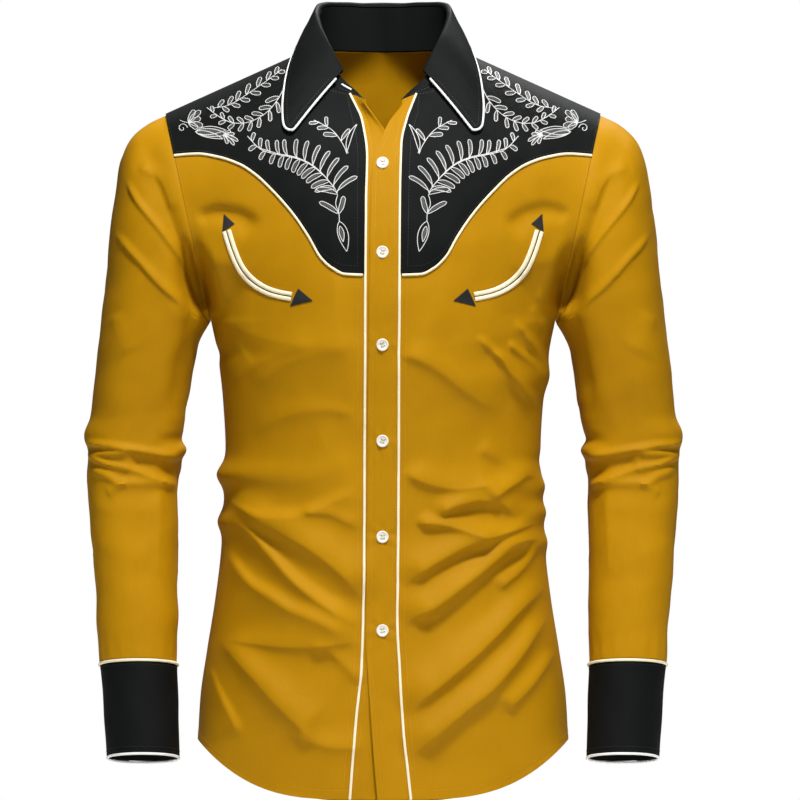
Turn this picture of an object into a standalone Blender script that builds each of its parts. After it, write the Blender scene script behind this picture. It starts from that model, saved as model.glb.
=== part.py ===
"""Western shirt, filled out as if worn, with nothing inside it.

Sizes are in millimetres and become metres in the meshes. +X is the wearer's left, -Y the front and +Z up.
The origin is the middle of the neck, where the wearer holds the shirt up.
Each cut piece is a wall of cloth between two grids of points. The body is a front and a back face, each a
depth worked out from plan place and height. Panels, bands, yokes, welts and buttons are all made from it.
"""

import bmesh
import bpy
import numpy as np

MM = 0.001
FRONT, BACK = -1, 1
LEFT, RIGHT = 1, -1
SIDE_NAMES = {LEFT: "left", RIGHT: "right"}

# Cloth and clearances
CLOTH = 1.5
YOKE_CLOTH = 1.3
COLLAR_CLOTH = 1.6
WELT_CLOTH = 1.1
SEAM_GAP = 0.3
LAP_LIFT = 2.1
# distances from the middle at which a lapping front has come up fully, and starts to
LAP_FULL, LAP_START = 22.0, 62.0
PIPING_HALF_WIDTH = 1.8
PIPING_HALF_HEIGHT = 0.9
CORD_RADIUS = 1.6
BUTTON_RADIUS = 6.25
BUTTON_HEIGHT = 2.4

# Body: shoulder tip, underarm point and armhole, which lies in one plane
TIP_X, TIP_Z = 218.0, -63.0
ARMPIT_X, ARMPIT_Z = 173.0, -270.0
ARMHOLE_HALF_DEPTH = 62.0
SIDE_Y = 5.0
SHOULDER_SLOPE = 0.4517
NECK_X = 72.0
NECK_Z = TIP_Z + (TIP_X - NECK_X) * SHOULDER_SLOPE
SQUARENESS = 2.3
# how a section turns in to its edge: round at a side seam, a slant at the armhole
ROUND_POWER, ARMHOLE_POWER = 0.5, 1.1
FRONT_HEM, BACK_HEM, SIDE_HEM = -748.0, -756.0, -690.0

# height, half width of the body at its side seams
HALF_WIDTH = (
    (-760, 187), (-690, 186), (-650, 184), (-600, 177), (-550, 169), (-500, 163),
    (-450, 160), (-400, 158.5), (-350, 161), (-300, 167), (-270, 173),
)
# height, place of the front's middle
FRONT_DEPTH = (
    (-760, -117), (-650, -112), (-560, -107), (-470, -104), (-400, -107), (-320, -115), (-250, -119),
    (-200, -116), (-160, -108), (-120, -96), (-80, -79), (-45, -63), (10, -46),
)
# height, place of the back's middle
BACK_DEPTH = (
    (-760, 113), (-680, 111), (-600, 105), (-520, 93), (-450, 86), (-400, 88), (-320, 99), (-240, 107),
    (-170, 107), (-110, 99), (-60, 87), (-20, 80), (10, 76),
)
# distance from the middle, height over which the body turns over at the shoulder seam
SHOULDER_ROUND = ((0, 60), (NECK_X, 65), (150, 88), (TIP_X, 103))

# height, distance from the middle of the band seam and of the free edge, on the upper and the under front
BAND_SEAM = {
    LEFT: ((-748, 27.5), (-709, 23.5), (-678, 20.5), (-617, 16.6), (-571, 14.3), (-510, 15), (-150, 17),
           (-93, 18.5), (-68, 24), (-43, 33.5)),
    RIGHT: ((-748, 33), (-671, 27), (-617, 21.6), (-571, 20), (-510, 19), (-150, 17), (-106, 16),
            (-70, 21), (-43, 33.5)),
}
BAND_EDGE = {
    LEFT: ((-748, -5.5), (-709, -9), (-625, -15), (-593, -17), (-510, -16.3), (-150, -12.5), (-108, -10),
           (-89, -2), (-70, 5), (-48, 19)),
    RIGHT: ((-748, 2), (-671, -5), (-600, -11), (-510, -12), (-110, -12), (-78, -2), (-65, 7), (-48, 18)),
}
# how far the top of a band drops from its seam to its free edge, and the heights over which that comes in
BAND_TOP_DROP = 5.5
BAND_DROP_START, BAND_DROP_END = -90.0, -43.0

# distance from the middle, height of the front and back yokes' lower edges
YOKE_LINE = {
    FRONT: ((15, -224.5), (38, -223.5), (51, -217), (62.5, -206), (74, -186), (86, -168), (98, -153),
            (112, -138), (127, -124), (143, -113.5), (165, -106), (185, -103), (214, -105)),
    BACK: ((0, -190), (20, -185), (60, -160), (110, -134), (160, -117), (214, -110)),
}
# share of the way from the band seam to the shoulder, distance from the middle, height
NECK_LINE = ((0, 33.5, -42.5), (0.3, 47, -38.5), (0.55, 58.5, -31), (0.8, 68, -17), (1, NECK_X, NECK_Z))
BACK_NECK_Z = 2.0

# Collar. Stations run from the band seam at 0 to the shoulder at 1 and the middle of the back at 2.
# station, x, y, z of the line where the leaf folds over the stand
FOLD_LINE = (
    (-0.4, 19, -60, -47), (0, 29, -58.5, -37.5), (0.3, 37, -56.5, -30.5), (0.5, 43.5, -54, -23.5),
    (0.643, 48, -50, -14.5), (0.766, 53, -43, -3), (0.866, 58, -32, 9.5), (0.94, 62.5, -17, 22),
    (1, 65.5, 2, 33), (1.134, 62, 33, 41), (1.293, 51, 50, 43), (1.5, 36, 60, 43.5),
    (1.741, 18, 65.5, 43.5), (2, 0, 67, 43.5),
)
# station, distance from the middle and height of the leaf's outer edge
LEAF_EDGE = (
    (0.5, 91, -83), (0.643, 98.5, -76), (0.766, 100, -58), (0.866, 98, -38), (0.94, 94, -20), (1, 87.5, -4.2),
    (1.134, 77, -7), (1.293, 61, -8), (1.5, 42, -8.5), (2, 0, -8.5),
)
# the leaf starts at the first column from this station on, and leaves the stand's front end bare
LEAF_START = 0.49
LEAF_STANDOFF = 6.4
LEAF_BULGE = 5.0
# rise and reach of the roll over the stand's top edge
LEAF_ROLL = ((1.2, 0), (3.8, 0.8), (5.1, 3.2), (3.6, 6.2))

# Sleeve sections: outer x, outer z, inner x, inner z, half depth, middle y, tilt. They fan round the
# underarm from the armhole, then go down the arm. The elbow is at -385.
SLEEVE_SECTIONS = (
    (218, -63, 173, -270, 62, 5, 0), (235, -71, 173.7, -271, 67, 5, 0), (250, -84, 174.5, -272.3, 71, 5, 0),
    (261, -103, 175.3, -273.7, 73.5, 5, 0), (267.5, -130, 176.2, -275.3, 75, 5, 0),
    (271.5, -163, 177.4, -277.3, 75, 5, 0), (275.5, -200, 179, -280, 73.5, 5.5, 0),
    (280, -240, 181.5, -284.5, 71, 6, 0), (284, -278, 186, -295, 68, 7, 0),
    (288, -312, 190, -316, 64, 8.5, 0), (291.5, -342, 194.5, -342, 60, 10, 0),
    (294.5, -366, 199, -366, 56, 12, 0), (300.5, -385, 201.5, -385, 54, 12.5, 0),
    (296.5, -405, 200, -405, 52, 12, 0.02), (297.5, -430, 206.5, -430, 50, 9, 0.06),
    (295, -468, 206, -468, 48, 4, 0.11), (291.5, -508, 206.5, -508, 45.5, -3, 0.14),
    (288.5, -550, 206.5, -550, 43, -10, 0.15), (286, -585, 206.5, -585, 40.5, -16, 0.15),
    (284.5, -613, 207, -613, 38.7, -20.5, 0.15),
)
CUFF_SECTIONS = (
    (284.3, -613.6, 206.8, -613.6, 38.7, -20.7, 0.15), (280.5, -660, 205.5, -660, 37.6, -29, 0.15),
    (277.3, -707, 204, -707, 36.5, -37, 0.15),
)
SLEEVE_COLUMNS = 16
ARM_SQUARENESS = 2.1
CUFF_COLUMNS = 16
CUFF_LAP_COLUMNS = 2
CUFF_LAP_DROP = 2.2
CUFF_LAP_START = 5
# rings and columns of the sleeve that the strip round the cuff opening covers, at the back
SLEEVE_BAND_ROWS, SLEEVE_BAND_COLUMNS = slice(19, 14, -1), slice(11, 13)

# Largest folds: face, half width, height (a trough is below zero), then places (x, z) along it
FOLDS = (
    (FRONT, 13, 7, ((-160, -444), (-132, -461), (-101, -479), (-60, -505), (-24, -544))),
    (FRONT, 10, -5, ((-155, -462), (-128, -480), (-97, -500), (-62, -522), (-34, -546))),
    (FRONT, 13, 6, ((-138, -479), (-111, -505), (-81, -538), (-30, -571))),
    (FRONT, 14, 7, ((-160, -593), (-130, -622), (-89, -665), (-64, -685), (-36, -695))),
    (FRONT, 12, -5, ((-150, -612), (-118, -648), (-80, -688))),
    (FRONT, 13, 6, ((138, -480), (99, -491), (58, -512), (24, -541))),
    (FRONT, 10, -5, ((145, -490), (105, -506), (66, -529), (30, -556))),
    (FRONT, 13, 6, ((152, -495), (112, -527), (68, -546), (36, -567))),
    (FRONT, 12, -5, ((150, -520), (120, -548), (90, -580), (60, -608))),
    (FRONT, 14, 7, ((156, -532), (130, -569), (99, -599), (64, -630), (28, -663))),
    (FRONT, 14, 6, ((160, -573), (140, -605), (109, -640), (68, -679), (32, -703))),
    (BACK, 16, 7, ((-158, -430), (-110, -452), (-50, -462))),
    (BACK, 15, -6, ((-150, -470), (-95, -490), (-35, -492))),
    (BACK, 16, 7, ((158, -440), (105, -468), (45, -480))),
    (BACK, 15, -6, ((150, -405), (95, -425), (30, -436))),
)
# Sleeve folds, the same on both arms: face, half width, height, then places (distance from middle, z)
SLEEVE_FOLDS = (
    (FRONT, 11, 5, ((253, -133), (234, -165), (215, -188), (189, -217))),
    (FRONT, 11, 5, ((266, -178), (257, -197), (234, -225), (212, -249), (194, -264))),
    (FRONT, 10, 5, ((299, -392), (258, -401), (234, -405), (208, -408))),
    (FRONT, 9, -4, ((297, -402), (259, -411), (234, -421))),
    (FRONT, 10, 4, ((296, -416), (267, -428), (239, -435))),
    (BACK, 12, 5, ((292, -352), (255, -362), (205, -372))),
    (BACK, 11, -4, ((296, -372), (255, -383), (206, -390))),
)

# Smile pocket: share of its length, distance from the middle, height
SMILE = (
    (0, 156.5, -180), (0.17, 150.5, -199), (0.34, 142.5, -217), (0.52, 129, -232), (0.7, 114, -240.5),
    (0.85, 103, -243.8), (1, 91.2, -246),
)
SMILE_STEPS = 12
WELT_WIDTH = 4.2
WELT_PARTING = 0.8
# corners of the arrowheads (distance from the middle, height)
ARROWHEADS = {
    "upper": ((159, -163.5), (148.5, -173), (160.5, -180.5)),
    "lower": ((70.5, -250), (84.5, -238), (92.5, -255.5)),
}

BUTTON_X = -0.5
BUTTON_HEIGHTS = (-112.5, -201.5, -294.0, -390.0, -486.0, -579.5)

# Grid steps, as shares of the way between the named lines
FRONT_COLUMNS, BACK_COLUMNS = 9, 12
BODY_STEPS = np.linspace(0, 1, 15)
CHEST_STEPS = np.array([0, 0.05, 0.16, 0.32, 0.52, 0.75, 1])
YOKE_STEPS = np.array([0, 0.3, 0.58, 0.82, 0.96, 1])
SHOULDER_STEPS = np.array([0, 0.3, 0.62, 0.88, 1])

# name: colour, roughness, metallic
FINISHES = {
    "mustard_cloth": ((0.60, 0.26, 0.012), 0.6, 0.0),
    "black_cloth": ((0.013, 0.013, 0.014), 0.7, 0.0),
    "cream_piping": ((0.88, 0.76, 0.50), 0.5, 0.0),
    "white_piping": ((0.85, 0.85, 0.82), 0.5, 0.0),
    "button": ((0.80, 0.76, 0.66), 0.3, 0.0),
}


def curve(rows, at, column=1):
    """A column of a table, read at a value of its first column along a smooth curve with no overshoot."""
    table = np.array(rows, float)
    keys, values = table[:, 0], table[:, column]
    grades = np.diff(values) / np.diff(keys)
    before, after = grades[:-1], grades[1:]
    level = before * after <= 0
    inner = 2 * before * after / np.where(level, 1, before + after)
    slopes = np.concatenate([grades[:1], np.where(level, 0, inner), grades[-1:]])
    at = np.clip(at, keys[0], keys[-1])
    low = np.clip(np.searchsorted(keys, at, side="right") - 1, 0, len(keys) - 2)
    span = keys[low + 1] - keys[low]
    part = (at - keys[low]) / span
    rest = 1 - part
    bend = span * part * rest * (slopes[low] * rest - slopes[low + 1] * part)
    return values[low] * (1 + 2 * part) * rest**2 + values[low + 1] * part**2 * (3 - 2 * part) + bend


def smooth_step(part):
    part = np.clip(part, 0, 1)
    return part * part * (3 - 2 * part)


def relief(folds, face, x, z):
    """How far the folds lift the cloth at x, z: each is a soft ridge or trough that fades at its ends."""
    lift = np.zeros(np.broadcast(x, z).shape)
    for fold_face, half_width, height, places in folds:
        if fold_face != face:
            continue
        places = np.array(places, float)
        nearest = np.full(lift.shape, 1e9)
        share = np.zeros(lift.shape)
        for step, (start, end) in enumerate(zip(places[:-1], places[1:])):
            run = end - start
            along = ((x - start[0]) * run[0] + (z - start[1]) * run[1]) / (run @ run)
            along = np.clip(along, 0, 1)
            away = np.hypot(x - start[0] - along * run[0], z - start[1] - along * run[1])
            share = np.where(away < nearest, (step + along) / (len(places) - 1), share)
            nearest = np.minimum(away, nearest)
        taper = smooth_step(4 * share) * smooth_step(4 * (1 - share))
        lift += height * taper * np.exp(-((nearest / half_width) ** 2))
    return lift


def edge(face, z):
    """Where the front or back face ends at height z, and the power with which it turns in to that edge."""
    up = np.clip((z - ARMPIT_Z) / (TIP_Z - ARMPIT_Z), 0, 1)
    x = np.where(z < ARMPIT_Z, curve(HALF_WIDTH, z), ARMPIT_X + (TIP_X - ARMPIT_X) * up)
    swell = np.where(up < 0.5, 2 * np.sqrt(up * (1 - up)), 1)
    y = SIDE_Y + face * (SEAM_GAP / 2 + ARMHOLE_HALF_DEPTH * swell)
    return x, y, ROUND_POWER + (ARMHOLE_POWER - ROUND_POWER) * swell


def body_y(face, x, z, lap=0.0):
    """Place of the front or back face at x, z. A lapping front stands off by lap near the middle."""
    edge_x, edge_y, power = edge(face, z)
    middle = curve(FRONT_DEPTH if face == FRONT else BACK_DEPTH, z)
    out = np.abs(x)
    share = np.clip(out / edge_x, 0, 1)
    y = edge_y + (middle - edge_y) * (1 - share**SQUARENESS) ** power
    shoulder_y = SIDE_Y + face * SEAM_GAP / 2
    below = TIP_Z + (TIP_X - out) * SHOULDER_SLOPE - z
    turn = np.clip(below / curve(SHOULDER_ROUND, out), 0, 1)
    y = shoulder_y + (y - shoulder_y) * np.sqrt(turn * (2 - turn))
    lift = relief(FOLDS, face, x, z) * (1 - share**8)
    lift = lift + lap * smooth_step((LAP_START - out) / (LAP_START - LAP_FULL))
    return y + face * lift


def lap_of(side):
    return LAP_LIFT if side == LEFT else 0.0


def on_front(side, out, z, lift=0.0):
    """Points on one front, out from the middle at height z, raised off the cloth by lift."""
    out, z = np.broadcast_arrays(np.asarray(out, float), np.asarray(z, float))
    step = 1.5
    lap = lap_of(side)
    y = body_y(FRONT, side * out, z, lap)
    slope_x = (body_y(FRONT, side * (out + step), z, lap) - body_y(FRONT, side * (out - step), z, lap))
    slope_z = (body_y(FRONT, side * out, z + step, lap) - body_y(FRONT, side * out, z - step, lap))
    normal = np.stack([side * slope_x, np.full(y.shape, -2 * step), slope_z], axis=-1)
    normal /= np.linalg.norm(normal, axis=-1, keepdims=True)
    return np.stack([side * out, y, z], axis=-1) + normal * lift, normal


def unit(vectors):
    return vectors / np.maximum(np.linalg.norm(vectors, axis=-1, keepdims=True), 1e-9)


def normals(grid, ring=False):
    """Unit normals at a grid's points. They point out where the columns turn right-handed round +Z."""
    if ring:
        across = np.roll(grid, -1, axis=1) - np.roll(grid, 1, axis=1)
    else:
        across = np.gradient(grid, axis=1)
    return unit(np.cross(across, np.gradient(grid, axis=0)))


def finish(name):
    """The material of that name, made on first use."""
    material = bpy.data.materials.get(name)
    if material is None:
        colour, roughness, metallic = FINISHES[name]
        material = bpy.data.materials.new(name)
        material.use_nodes = True
        shader = material.node_tree.nodes["Principled BSDF"]
        shader.inputs["Base Color"].default_value = (*colour, 1)
        shader.inputs["Roughness"].default_value = roughness
        shader.inputs["Metallic"].default_value = metallic
    return material


def add_solid(name, points, faces, material):
    """One closed body, its faces turned outwards, as an object."""
    shape = bmesh.new()
    corners = [shape.verts.new(point) for point in np.asarray(points) * MM]
    for face in faces:
        shape.faces.new([corners[index] for index in face])
    bmesh.ops.recalc_face_normals(shape, faces=shape.faces)
    mesh = bpy.data.meshes.new(name)
    shape.to_mesh(mesh)
    shape.free()
    mesh.materials.append(finish(material))
    mesh.shade_smooth()
    bpy.context.scene.collection.objects.link(bpy.data.objects.new(name, mesh))


def grid_triangles(index):
    """Two triangles for each cell of a grid of point numbers, all split the same way."""
    low, high = index[:-1], index[1:]
    first = np.stack([low[:, :-1], low[:, 1:], high[:, 1:]], axis=-1)
    second = np.stack([low[:, :-1], high[:, 1:], high[:, :-1]], axis=-1)
    return np.concatenate([first, second]).reshape(-1, 3)


def add_wall(name, outer, inner, material, ring=False):
    """The closed wall between two grids of points. In a ring, the last column meets the first."""
    rows, columns = outer.shape[:2]
    count = rows * columns
    index = np.arange(count).reshape(rows, columns)
    if ring:
        index = np.concatenate([index, index[:, :1]], axis=1)
    cells = grid_triangles(index)
    borders = [index[0], index[-1]]
    if not ring:
        borders += [index[:, 0], index[:, -1]]
    rims = []
    for border in borders:
        rims += [(low, high, high + count, low + count) for low, high in zip(border[:-1], border[1:])]
    points = np.concatenate([outer.reshape(-1, 3), inner.reshape(-1, 3)])
    add_solid(name, points, [*cells, *(cells[:, ::-1] + count), *rims], material)


def add_tube(name, path, across, out, half_width, half_height, material, ring=False, sides=4):
    """A flat or round cord along a path. across and out are its section's two directions at each point."""
    turns = np.linspace(0, 2 * np.pi, sides, endpoint=False) + np.pi / sides
    half_width, half_height = np.array([half_width, half_height]) / np.cos(np.pi / sides)
    grid = path[:, None] + across[:, None] * (half_width * np.cos(turns))[None, :, None]
    grid = grid + out[:, None] * (half_height * np.sin(turns))[None, :, None]
    count = len(path)
    index = np.arange(count * sides).reshape(count, sides)
    index = np.concatenate([index, index[:, :1]], axis=1)
    if ring:
        index = np.concatenate([index, index[:1]])
    caps = [] if ring else [index[0, :-1], index[-1, :-1]]
    add_solid(name, grid.reshape(-1, 3), [*grid_triangles(index), *caps], material)


def between(low, high, steps):
    """Rows that go from one row of values to another."""
    low, high = np.broadcast_arrays(np.asarray(low, float), np.asarray(high, float))
    return low + (high - low) * np.asarray(steps)[:, None]


def yoke_row(face, place):
    """Heights of a yoke's lower edge, at the columns that place(z) puts at x."""
    z = np.full(place(np.array(ARMPIT_Z)).shape, -150.0)
    for _ in range(8):
        z = curve(YOKE_LINE[face], np.abs(place(z)))
    return z


def panel_heights(hem, yoke, columns):
    """Heights of a body panel's rows up to the shoulder tip, and the index of the yoke's row."""
    armpit = np.full(columns, ARMPIT_Z)
    tip = np.full(columns, TIP_Z)
    rows = np.concatenate([
        between(hem, armpit, BODY_STEPS), between(armpit, yoke, CHEST_STEPS)[1:],
        between(yoke, tip, YOKE_STEPS)[1:],
    ])
    return rows, len(BODY_STEPS) + len(CHEST_STEPS) - 2


def front_columns():
    return np.sin(np.linspace(0, np.pi / 2, FRONT_COLUMNS + 1))


def front_grid(side):
    """Outer face of a front, mirrored to +X, from the hem up and from the band seam out; and its yoke row."""
    columns = front_columns()

    def place(z):
        seam = curve(BAND_SEAM[side], z)
        return seam + (edge(FRONT, z)[0] - seam) * columns

    hem = FRONT_HEM + (SIDE_HEM - FRONT_HEM) * columns**3
    heights, yoke_start = panel_heights(hem, yoke_row(FRONT, place), len(columns))
    out = place(heights)
    neck_out, neck_z = curve(NECK_LINE, columns), curve(NECK_LINE, columns, 2)
    out = np.concatenate([out, between(out[-1], neck_out, SHOULDER_STEPS)[1:]])
    heights = np.concatenate([heights, between(heights[-1], neck_z, SHOULDER_STEPS)[1:]])
    y = body_y(FRONT, side * out, heights, lap_of(side))
    return np.stack([out, y, heights], axis=-1), yoke_start


def back_grid():
    """Outer face of the back, from the hem up and from right to left; and its yoke row."""
    columns = np.sin(np.linspace(-np.pi / 2, np.pi / 2, BACK_COLUMNS + 1))

    def place(z):
        return edge(BACK, z)[0] * columns

    hem = BACK_HEM + (SIDE_HEM - BACK_HEM) * np.abs(columns) ** 3
    heights, yoke_start = panel_heights(hem, yoke_row(BACK, place), len(columns))
    x = place(heights)
    x = np.concatenate([x, between(x[-1], NECK_X * columns, SHOULDER_STEPS)[1:]])
    neck_z = BACK_NECK_Z + (NECK_Z - BACK_NECK_Z) * columns**2
    heights = np.concatenate([heights, between(heights[-1], neck_z, SHOULDER_STEPS)[1:]])
    return np.stack([x, body_y(BACK, x, heights), heights], axis=-1), yoke_start


def seat_edge(face, layer, column, first_row=0):
    """Brings a layer's side column into the planes of the seams that it meets. It starts at a panel's row."""
    row = np.arange(len(layer)) + first_row
    armpit, tip = len(BODY_STEPS) - 1, len(BODY_STEPS) + len(CHEST_STEPS) + len(YOKE_STEPS) - 3
    x, y, z = layer[:, column].T
    plane_x = ARMPIT_X + (TIP_X - ARMPIT_X) * (z - ARMPIT_Z) / (TIP_Z - ARMPIT_Z)
    layer[:, column, 0] = np.where((row > armpit) & (row <= tip), np.sign(x) * plane_x, x)
    layer[:, column, 1] = np.where((row > armpit) & (row < tip), y, SIDE_Y + face * SEAM_GAP / 2)
    return layer


def mirrored(points, side):
    return points * (side, 1, 1)


def inset(grid, distance):
    """Moves a grid's first row in by a distance, towards its next one."""
    grid = grid.copy()
    step = grid[1] - grid[0]
    grid[0] += step * (distance / np.linalg.norm(step, axis=-1, keepdims=True))
    return grid


def build_fronts():
    """Fronts, their yokes, piping and bands. It gives the outer face of each band."""
    bands = {}
    for side in (LEFT, RIGHT):
        name = SIDE_NAMES[side]
        grid, yoke_start = front_grid(side)
        out = normals(grid)
        inner = seat_edge(FRONT, grid - out * CLOTH, -1)
        add_wall(f"front_{name}", mirrored(grid, side), mirrored(inner, side), "mustard_cloth")

        clear = PIPING_HALF_WIDTH + SEAM_GAP
        region, region_out = grid[yoke_start:], out[yoke_start:]
        region = inset(region, clear)
        region = inset(region.transpose(1, 0, 2), clear).transpose(1, 0, 2)
        layers = [
            mirrored(seat_edge(FRONT, region + region_out * lift, -1, yoke_start), side)
            for lift in (SEAM_GAP + YOKE_CLOTH, SEAM_GAP)
        ]
        add_wall(f"yoke_front_{name}", *layers, "black_cloth")

        lift = SEAM_GAP + PIPING_HALF_HEIGHT
        seam, seam_out = grid[:, 0], out[:, 0]
        across = unit(grid[:, 1] - seam)
        path = mirrored(seam + seam_out * lift, side)
        add_tube(
            f"piping_front_{name}", path, mirrored(across, side), mirrored(seam_out, side),
            PIPING_HALF_WIDTH, PIPING_HALF_HEIGHT, "cream_piping",
        )
        row = grid[yoke_start].copy()
        step = row[1] - row[0]
        row[0] += step * ((clear + SEAM_GAP) / np.linalg.norm(step))
        row[-1] += (row[-2] - row[-1]) * 0.01
        row_out = out[yoke_start]
        upward = unit(grid[yoke_start + 1] - grid[yoke_start])
        add_tube(
            f"piping_yoke_{name}", mirrored(row + row_out * lift, side), mirrored(upward, side),
            mirrored(row_out, side), PIPING_HALF_WIDTH, PIPING_HALF_HEIGHT, "cream_piping",
        )
        bands[side] = build_band(side, grid)
    return bands


def build_band(side, grid):
    """The band along a front's edge: it starts SEAM_GAP from the panel and lies on the same face."""
    name = SIDE_NAMES[side]
    z = grid[:, 0, 2]
    seam = grid[:, 0, 0] - SEAM_GAP
    free = curve(BAND_EDGE[side], z)
    shares = np.array([0, 0.5, 1])
    x = seam[:, None] + (free - seam)[:, None] * shares
    drop = smooth_step((z - BAND_DROP_START) / (BAND_DROP_END - BAND_DROP_START))
    heights = z[:, None] - BAND_TOP_DROP * shares * drop[:, None]
    y = body_y(FRONT, side * x, heights, lap_of(side))
    outer = np.stack([x, y, heights], axis=-1)
    inner = outer + normals(outer) * CLOTH
    add_wall(f"placket_{name}", mirrored(outer, side), mirrored(inner, side), "mustard_cloth")
    return mirrored(outer, side)


def build_back():
    grid, yoke_start = back_grid()
    out = -normals(grid)
    inner = grid - out * CLOTH
    for column in (0, -1):
        seat_edge(BACK, inner, column)
    add_wall("back", grid, inner, "mustard_cloth")

    region = inset(grid[yoke_start:], PIPING_HALF_WIDTH + SEAM_GAP)
    region_out = out[yoke_start:]
    layers = []
    for lift in (SEAM_GAP + YOKE_CLOTH, SEAM_GAP):
        layer = region + region_out * lift
        for column in (0, -1):
            seat_edge(BACK, layer, column, yoke_start)
        layers.append(layer)
    add_wall("yoke_back", *layers, "black_cloth")

    row, row_out = grid[yoke_start].copy(), out[yoke_start]
    for end, inward in ((0, 1), (-1, -2)):
        row[end] += (row[inward] - row[end]) * 0.02
    upward = unit(grid[yoke_start + 1] - grid[yoke_start])
    add_tube(
        "piping_yoke_back", row + row_out * (SEAM_GAP + PIPING_HALF_HEIGHT), upward, row_out,
        PIPING_HALF_WIDTH, PIPING_HALF_HEIGHT, "cream_piping",
    )
    return grid


def armhole_y(turns, x, z):
    """Where the body's two faces end in the armhole's plane."""
    return np.where(np.sin(turns) > 0, body_y(FRONT, x, z), body_y(BACK, x, z))


def section_grid(sections, turns):
    """Rings round an arm, one for each section, at these turns. The first quarter turn goes to the front."""
    sections = np.array(sections, float)
    outer_x, outer_z, inner_x, inner_z, depth, middle_y, tilt = (column[:, None] for column in sections.T)
    power = 2 / ARM_SQUARENESS
    cosine = np.sign(np.cos(turns)) * np.abs(np.cos(turns)) ** power
    sine = -np.sign(np.sin(turns)) * np.abs(np.sin(turns)) ** power
    x = (outer_x + inner_x) / 2 + (outer_x - inner_x) / 2 * cosine
    z = (outer_z + inner_z) / 2 + (outer_z - inner_z) / 2 * cosine - tilt * depth * sine
    return np.stack([x, middle_y + depth * sine, z], axis=-1)


def build_sleeves():
    turns = np.linspace(0, 2 * np.pi, SLEEVE_COLUMNS, endpoint=False)
    grid = section_grid(SLEEVE_SECTIONS, turns)
    grid[0, :, 1] = armhole_y(turns, grid[0, :, 0], grid[0, :, 2])
    out = -normals(grid, ring=True)
    facing = np.clip(np.abs(out[..., 1]) * 1.4, 0, 1) * smooth_step(np.arange(len(grid)) / 3)[:, None]
    for face in (FRONT, BACK):
        lift = relief(SLEEVE_FOLDS, face, grid[..., 0], grid[..., 2]) * facing
        grid = grid + out * np.where(out[..., 1] * face > 0, lift, 0)[..., None]
    out = -normals(grid, ring=True)
    inner = grid - out * CLOTH
    armhole_normal = unit(np.array([TIP_Z - ARMPIT_Z, 0, ARMPIT_X - TIP_X]))
    first = inner[0]
    inner[0] = first - ((first - grid[0, 0]) @ armhole_normal)[:, None] * armhole_normal
    seam_shift = armhole_normal * SEAM_GAP
    for side in (LEFT, RIGHT):
        name = SIDE_NAMES[side]
        add_wall(
            f"sleeve_{name}", mirrored(grid + seam_shift, side), mirrored(inner + seam_shift, side),
            "mustard_cloth", ring=True,
        )
    return grid + seam_shift, out


def cuff_grid():
    """The cuff's rings, which lap: the last columns pass under the first."""
    step = 2 * np.pi / CUFF_COLUMNS
    count = CUFF_COLUMNS + CUFF_LAP_COLUMNS + 1
    turns = (np.arange(count) + CUFF_LAP_START) * step - np.pi
    grid = section_grid(CUFF_SECTIONS, turns)
    out = -normals(grid)
    drop = CUFF_LAP_DROP * smooth_step((np.arange(count) - CUFF_COLUMNS + 2) / 2)
    return grid - out * drop[None, :, None], out


def build_cuffs():
    for side in (LEFT, RIGHT):
        name = SIDE_NAMES[side]
        grid, out = cuff_grid()
        add_wall(f"cuff_{name}", mirrored(grid, side), mirrored(grid - out * CLOTH, side), "black_cloth")
        turns = np.linspace(0, 2 * np.pi, CUFF_COLUMNS, endpoint=False)
        rings = section_grid(CUFF_SECTIONS, turns)
        ring_out = -normals(rings, ring=True)
        down = np.broadcast_to(unit(rings[-1].mean(axis=0) - rings[0].mean(axis=0)), rings[0].shape)
        for label, row, shift, colour in (
            ("top", 0, ring_out[0] * (2 * SEAM_GAP + PIPING_HALF_HEIGHT), "cream_piping"),
            ("bottom", -1, down * (SEAM_GAP + PIPING_HALF_WIDTH) - ring_out[-1] * CLOTH / 2, "white_piping"),
        ):
            add_tube(
                f"piping_cuff_{label}_{name}", mirrored(rings[row] + shift, side), mirrored(down, side),
                mirrored(ring_out[row], side), PIPING_HALF_WIDTH, PIPING_HALF_HEIGHT, colour, ring=True,
            )
        middle = grid[1, 1:3].mean(axis=0)
        facing = unit(out[1, 1] + out[1, 2])
        add_button(f"button_cuff_{name}", mirrored(middle, side), mirrored(facing, side))


def add_button(name, seat, out):
    """A dished disc that stands SEAM_GAP off its seat."""
    sides = 12
    right = unit(np.cross(out, (0.0, 0.0, 1.0)))
    up = np.cross(right, out)
    turns = np.linspace(0, 2 * np.pi, sides, endpoint=False)
    rim = right * np.cos(turns)[:, None] + up * np.sin(turns)[:, None]
    # share of the radius, share of the height
    profile = ((0.86, 0), (1, 0.5), (0.9, 1), (0.62, 0.72))
    rings = [
        seat + out * (SEAM_GAP + BUTTON_HEIGHT * high) + rim * BUTTON_RADIUS * wide for wide, high in profile
    ]
    index = np.arange(sides * len(profile)).reshape(len(profile), sides)
    index = np.concatenate([index, index[:, :1]], axis=1)
    caps = [index[0, :-1], index[-1, :-1]]
    add_solid(name, np.concatenate(rings), [*grid_triangles(index), *caps], "button")


def build_buttons(band):
    """The front buttons, each on the faceted face of the upper band."""
    for number, height in enumerate(BUTTON_HEIGHTS, 1):
        x, y = np.array([
            [np.interp(height, column[:, 2], column[:, axis]) for column in band.transpose(1, 0, 2)[::-1]]
            for axis in (0, 1)
        ])
        seat, out = on_front(LEFT, BUTTON_X, height)
        seat[1] = np.interp(BUTTON_X, x, y)
        add_button(f"button_{number}", seat, out)


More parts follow.
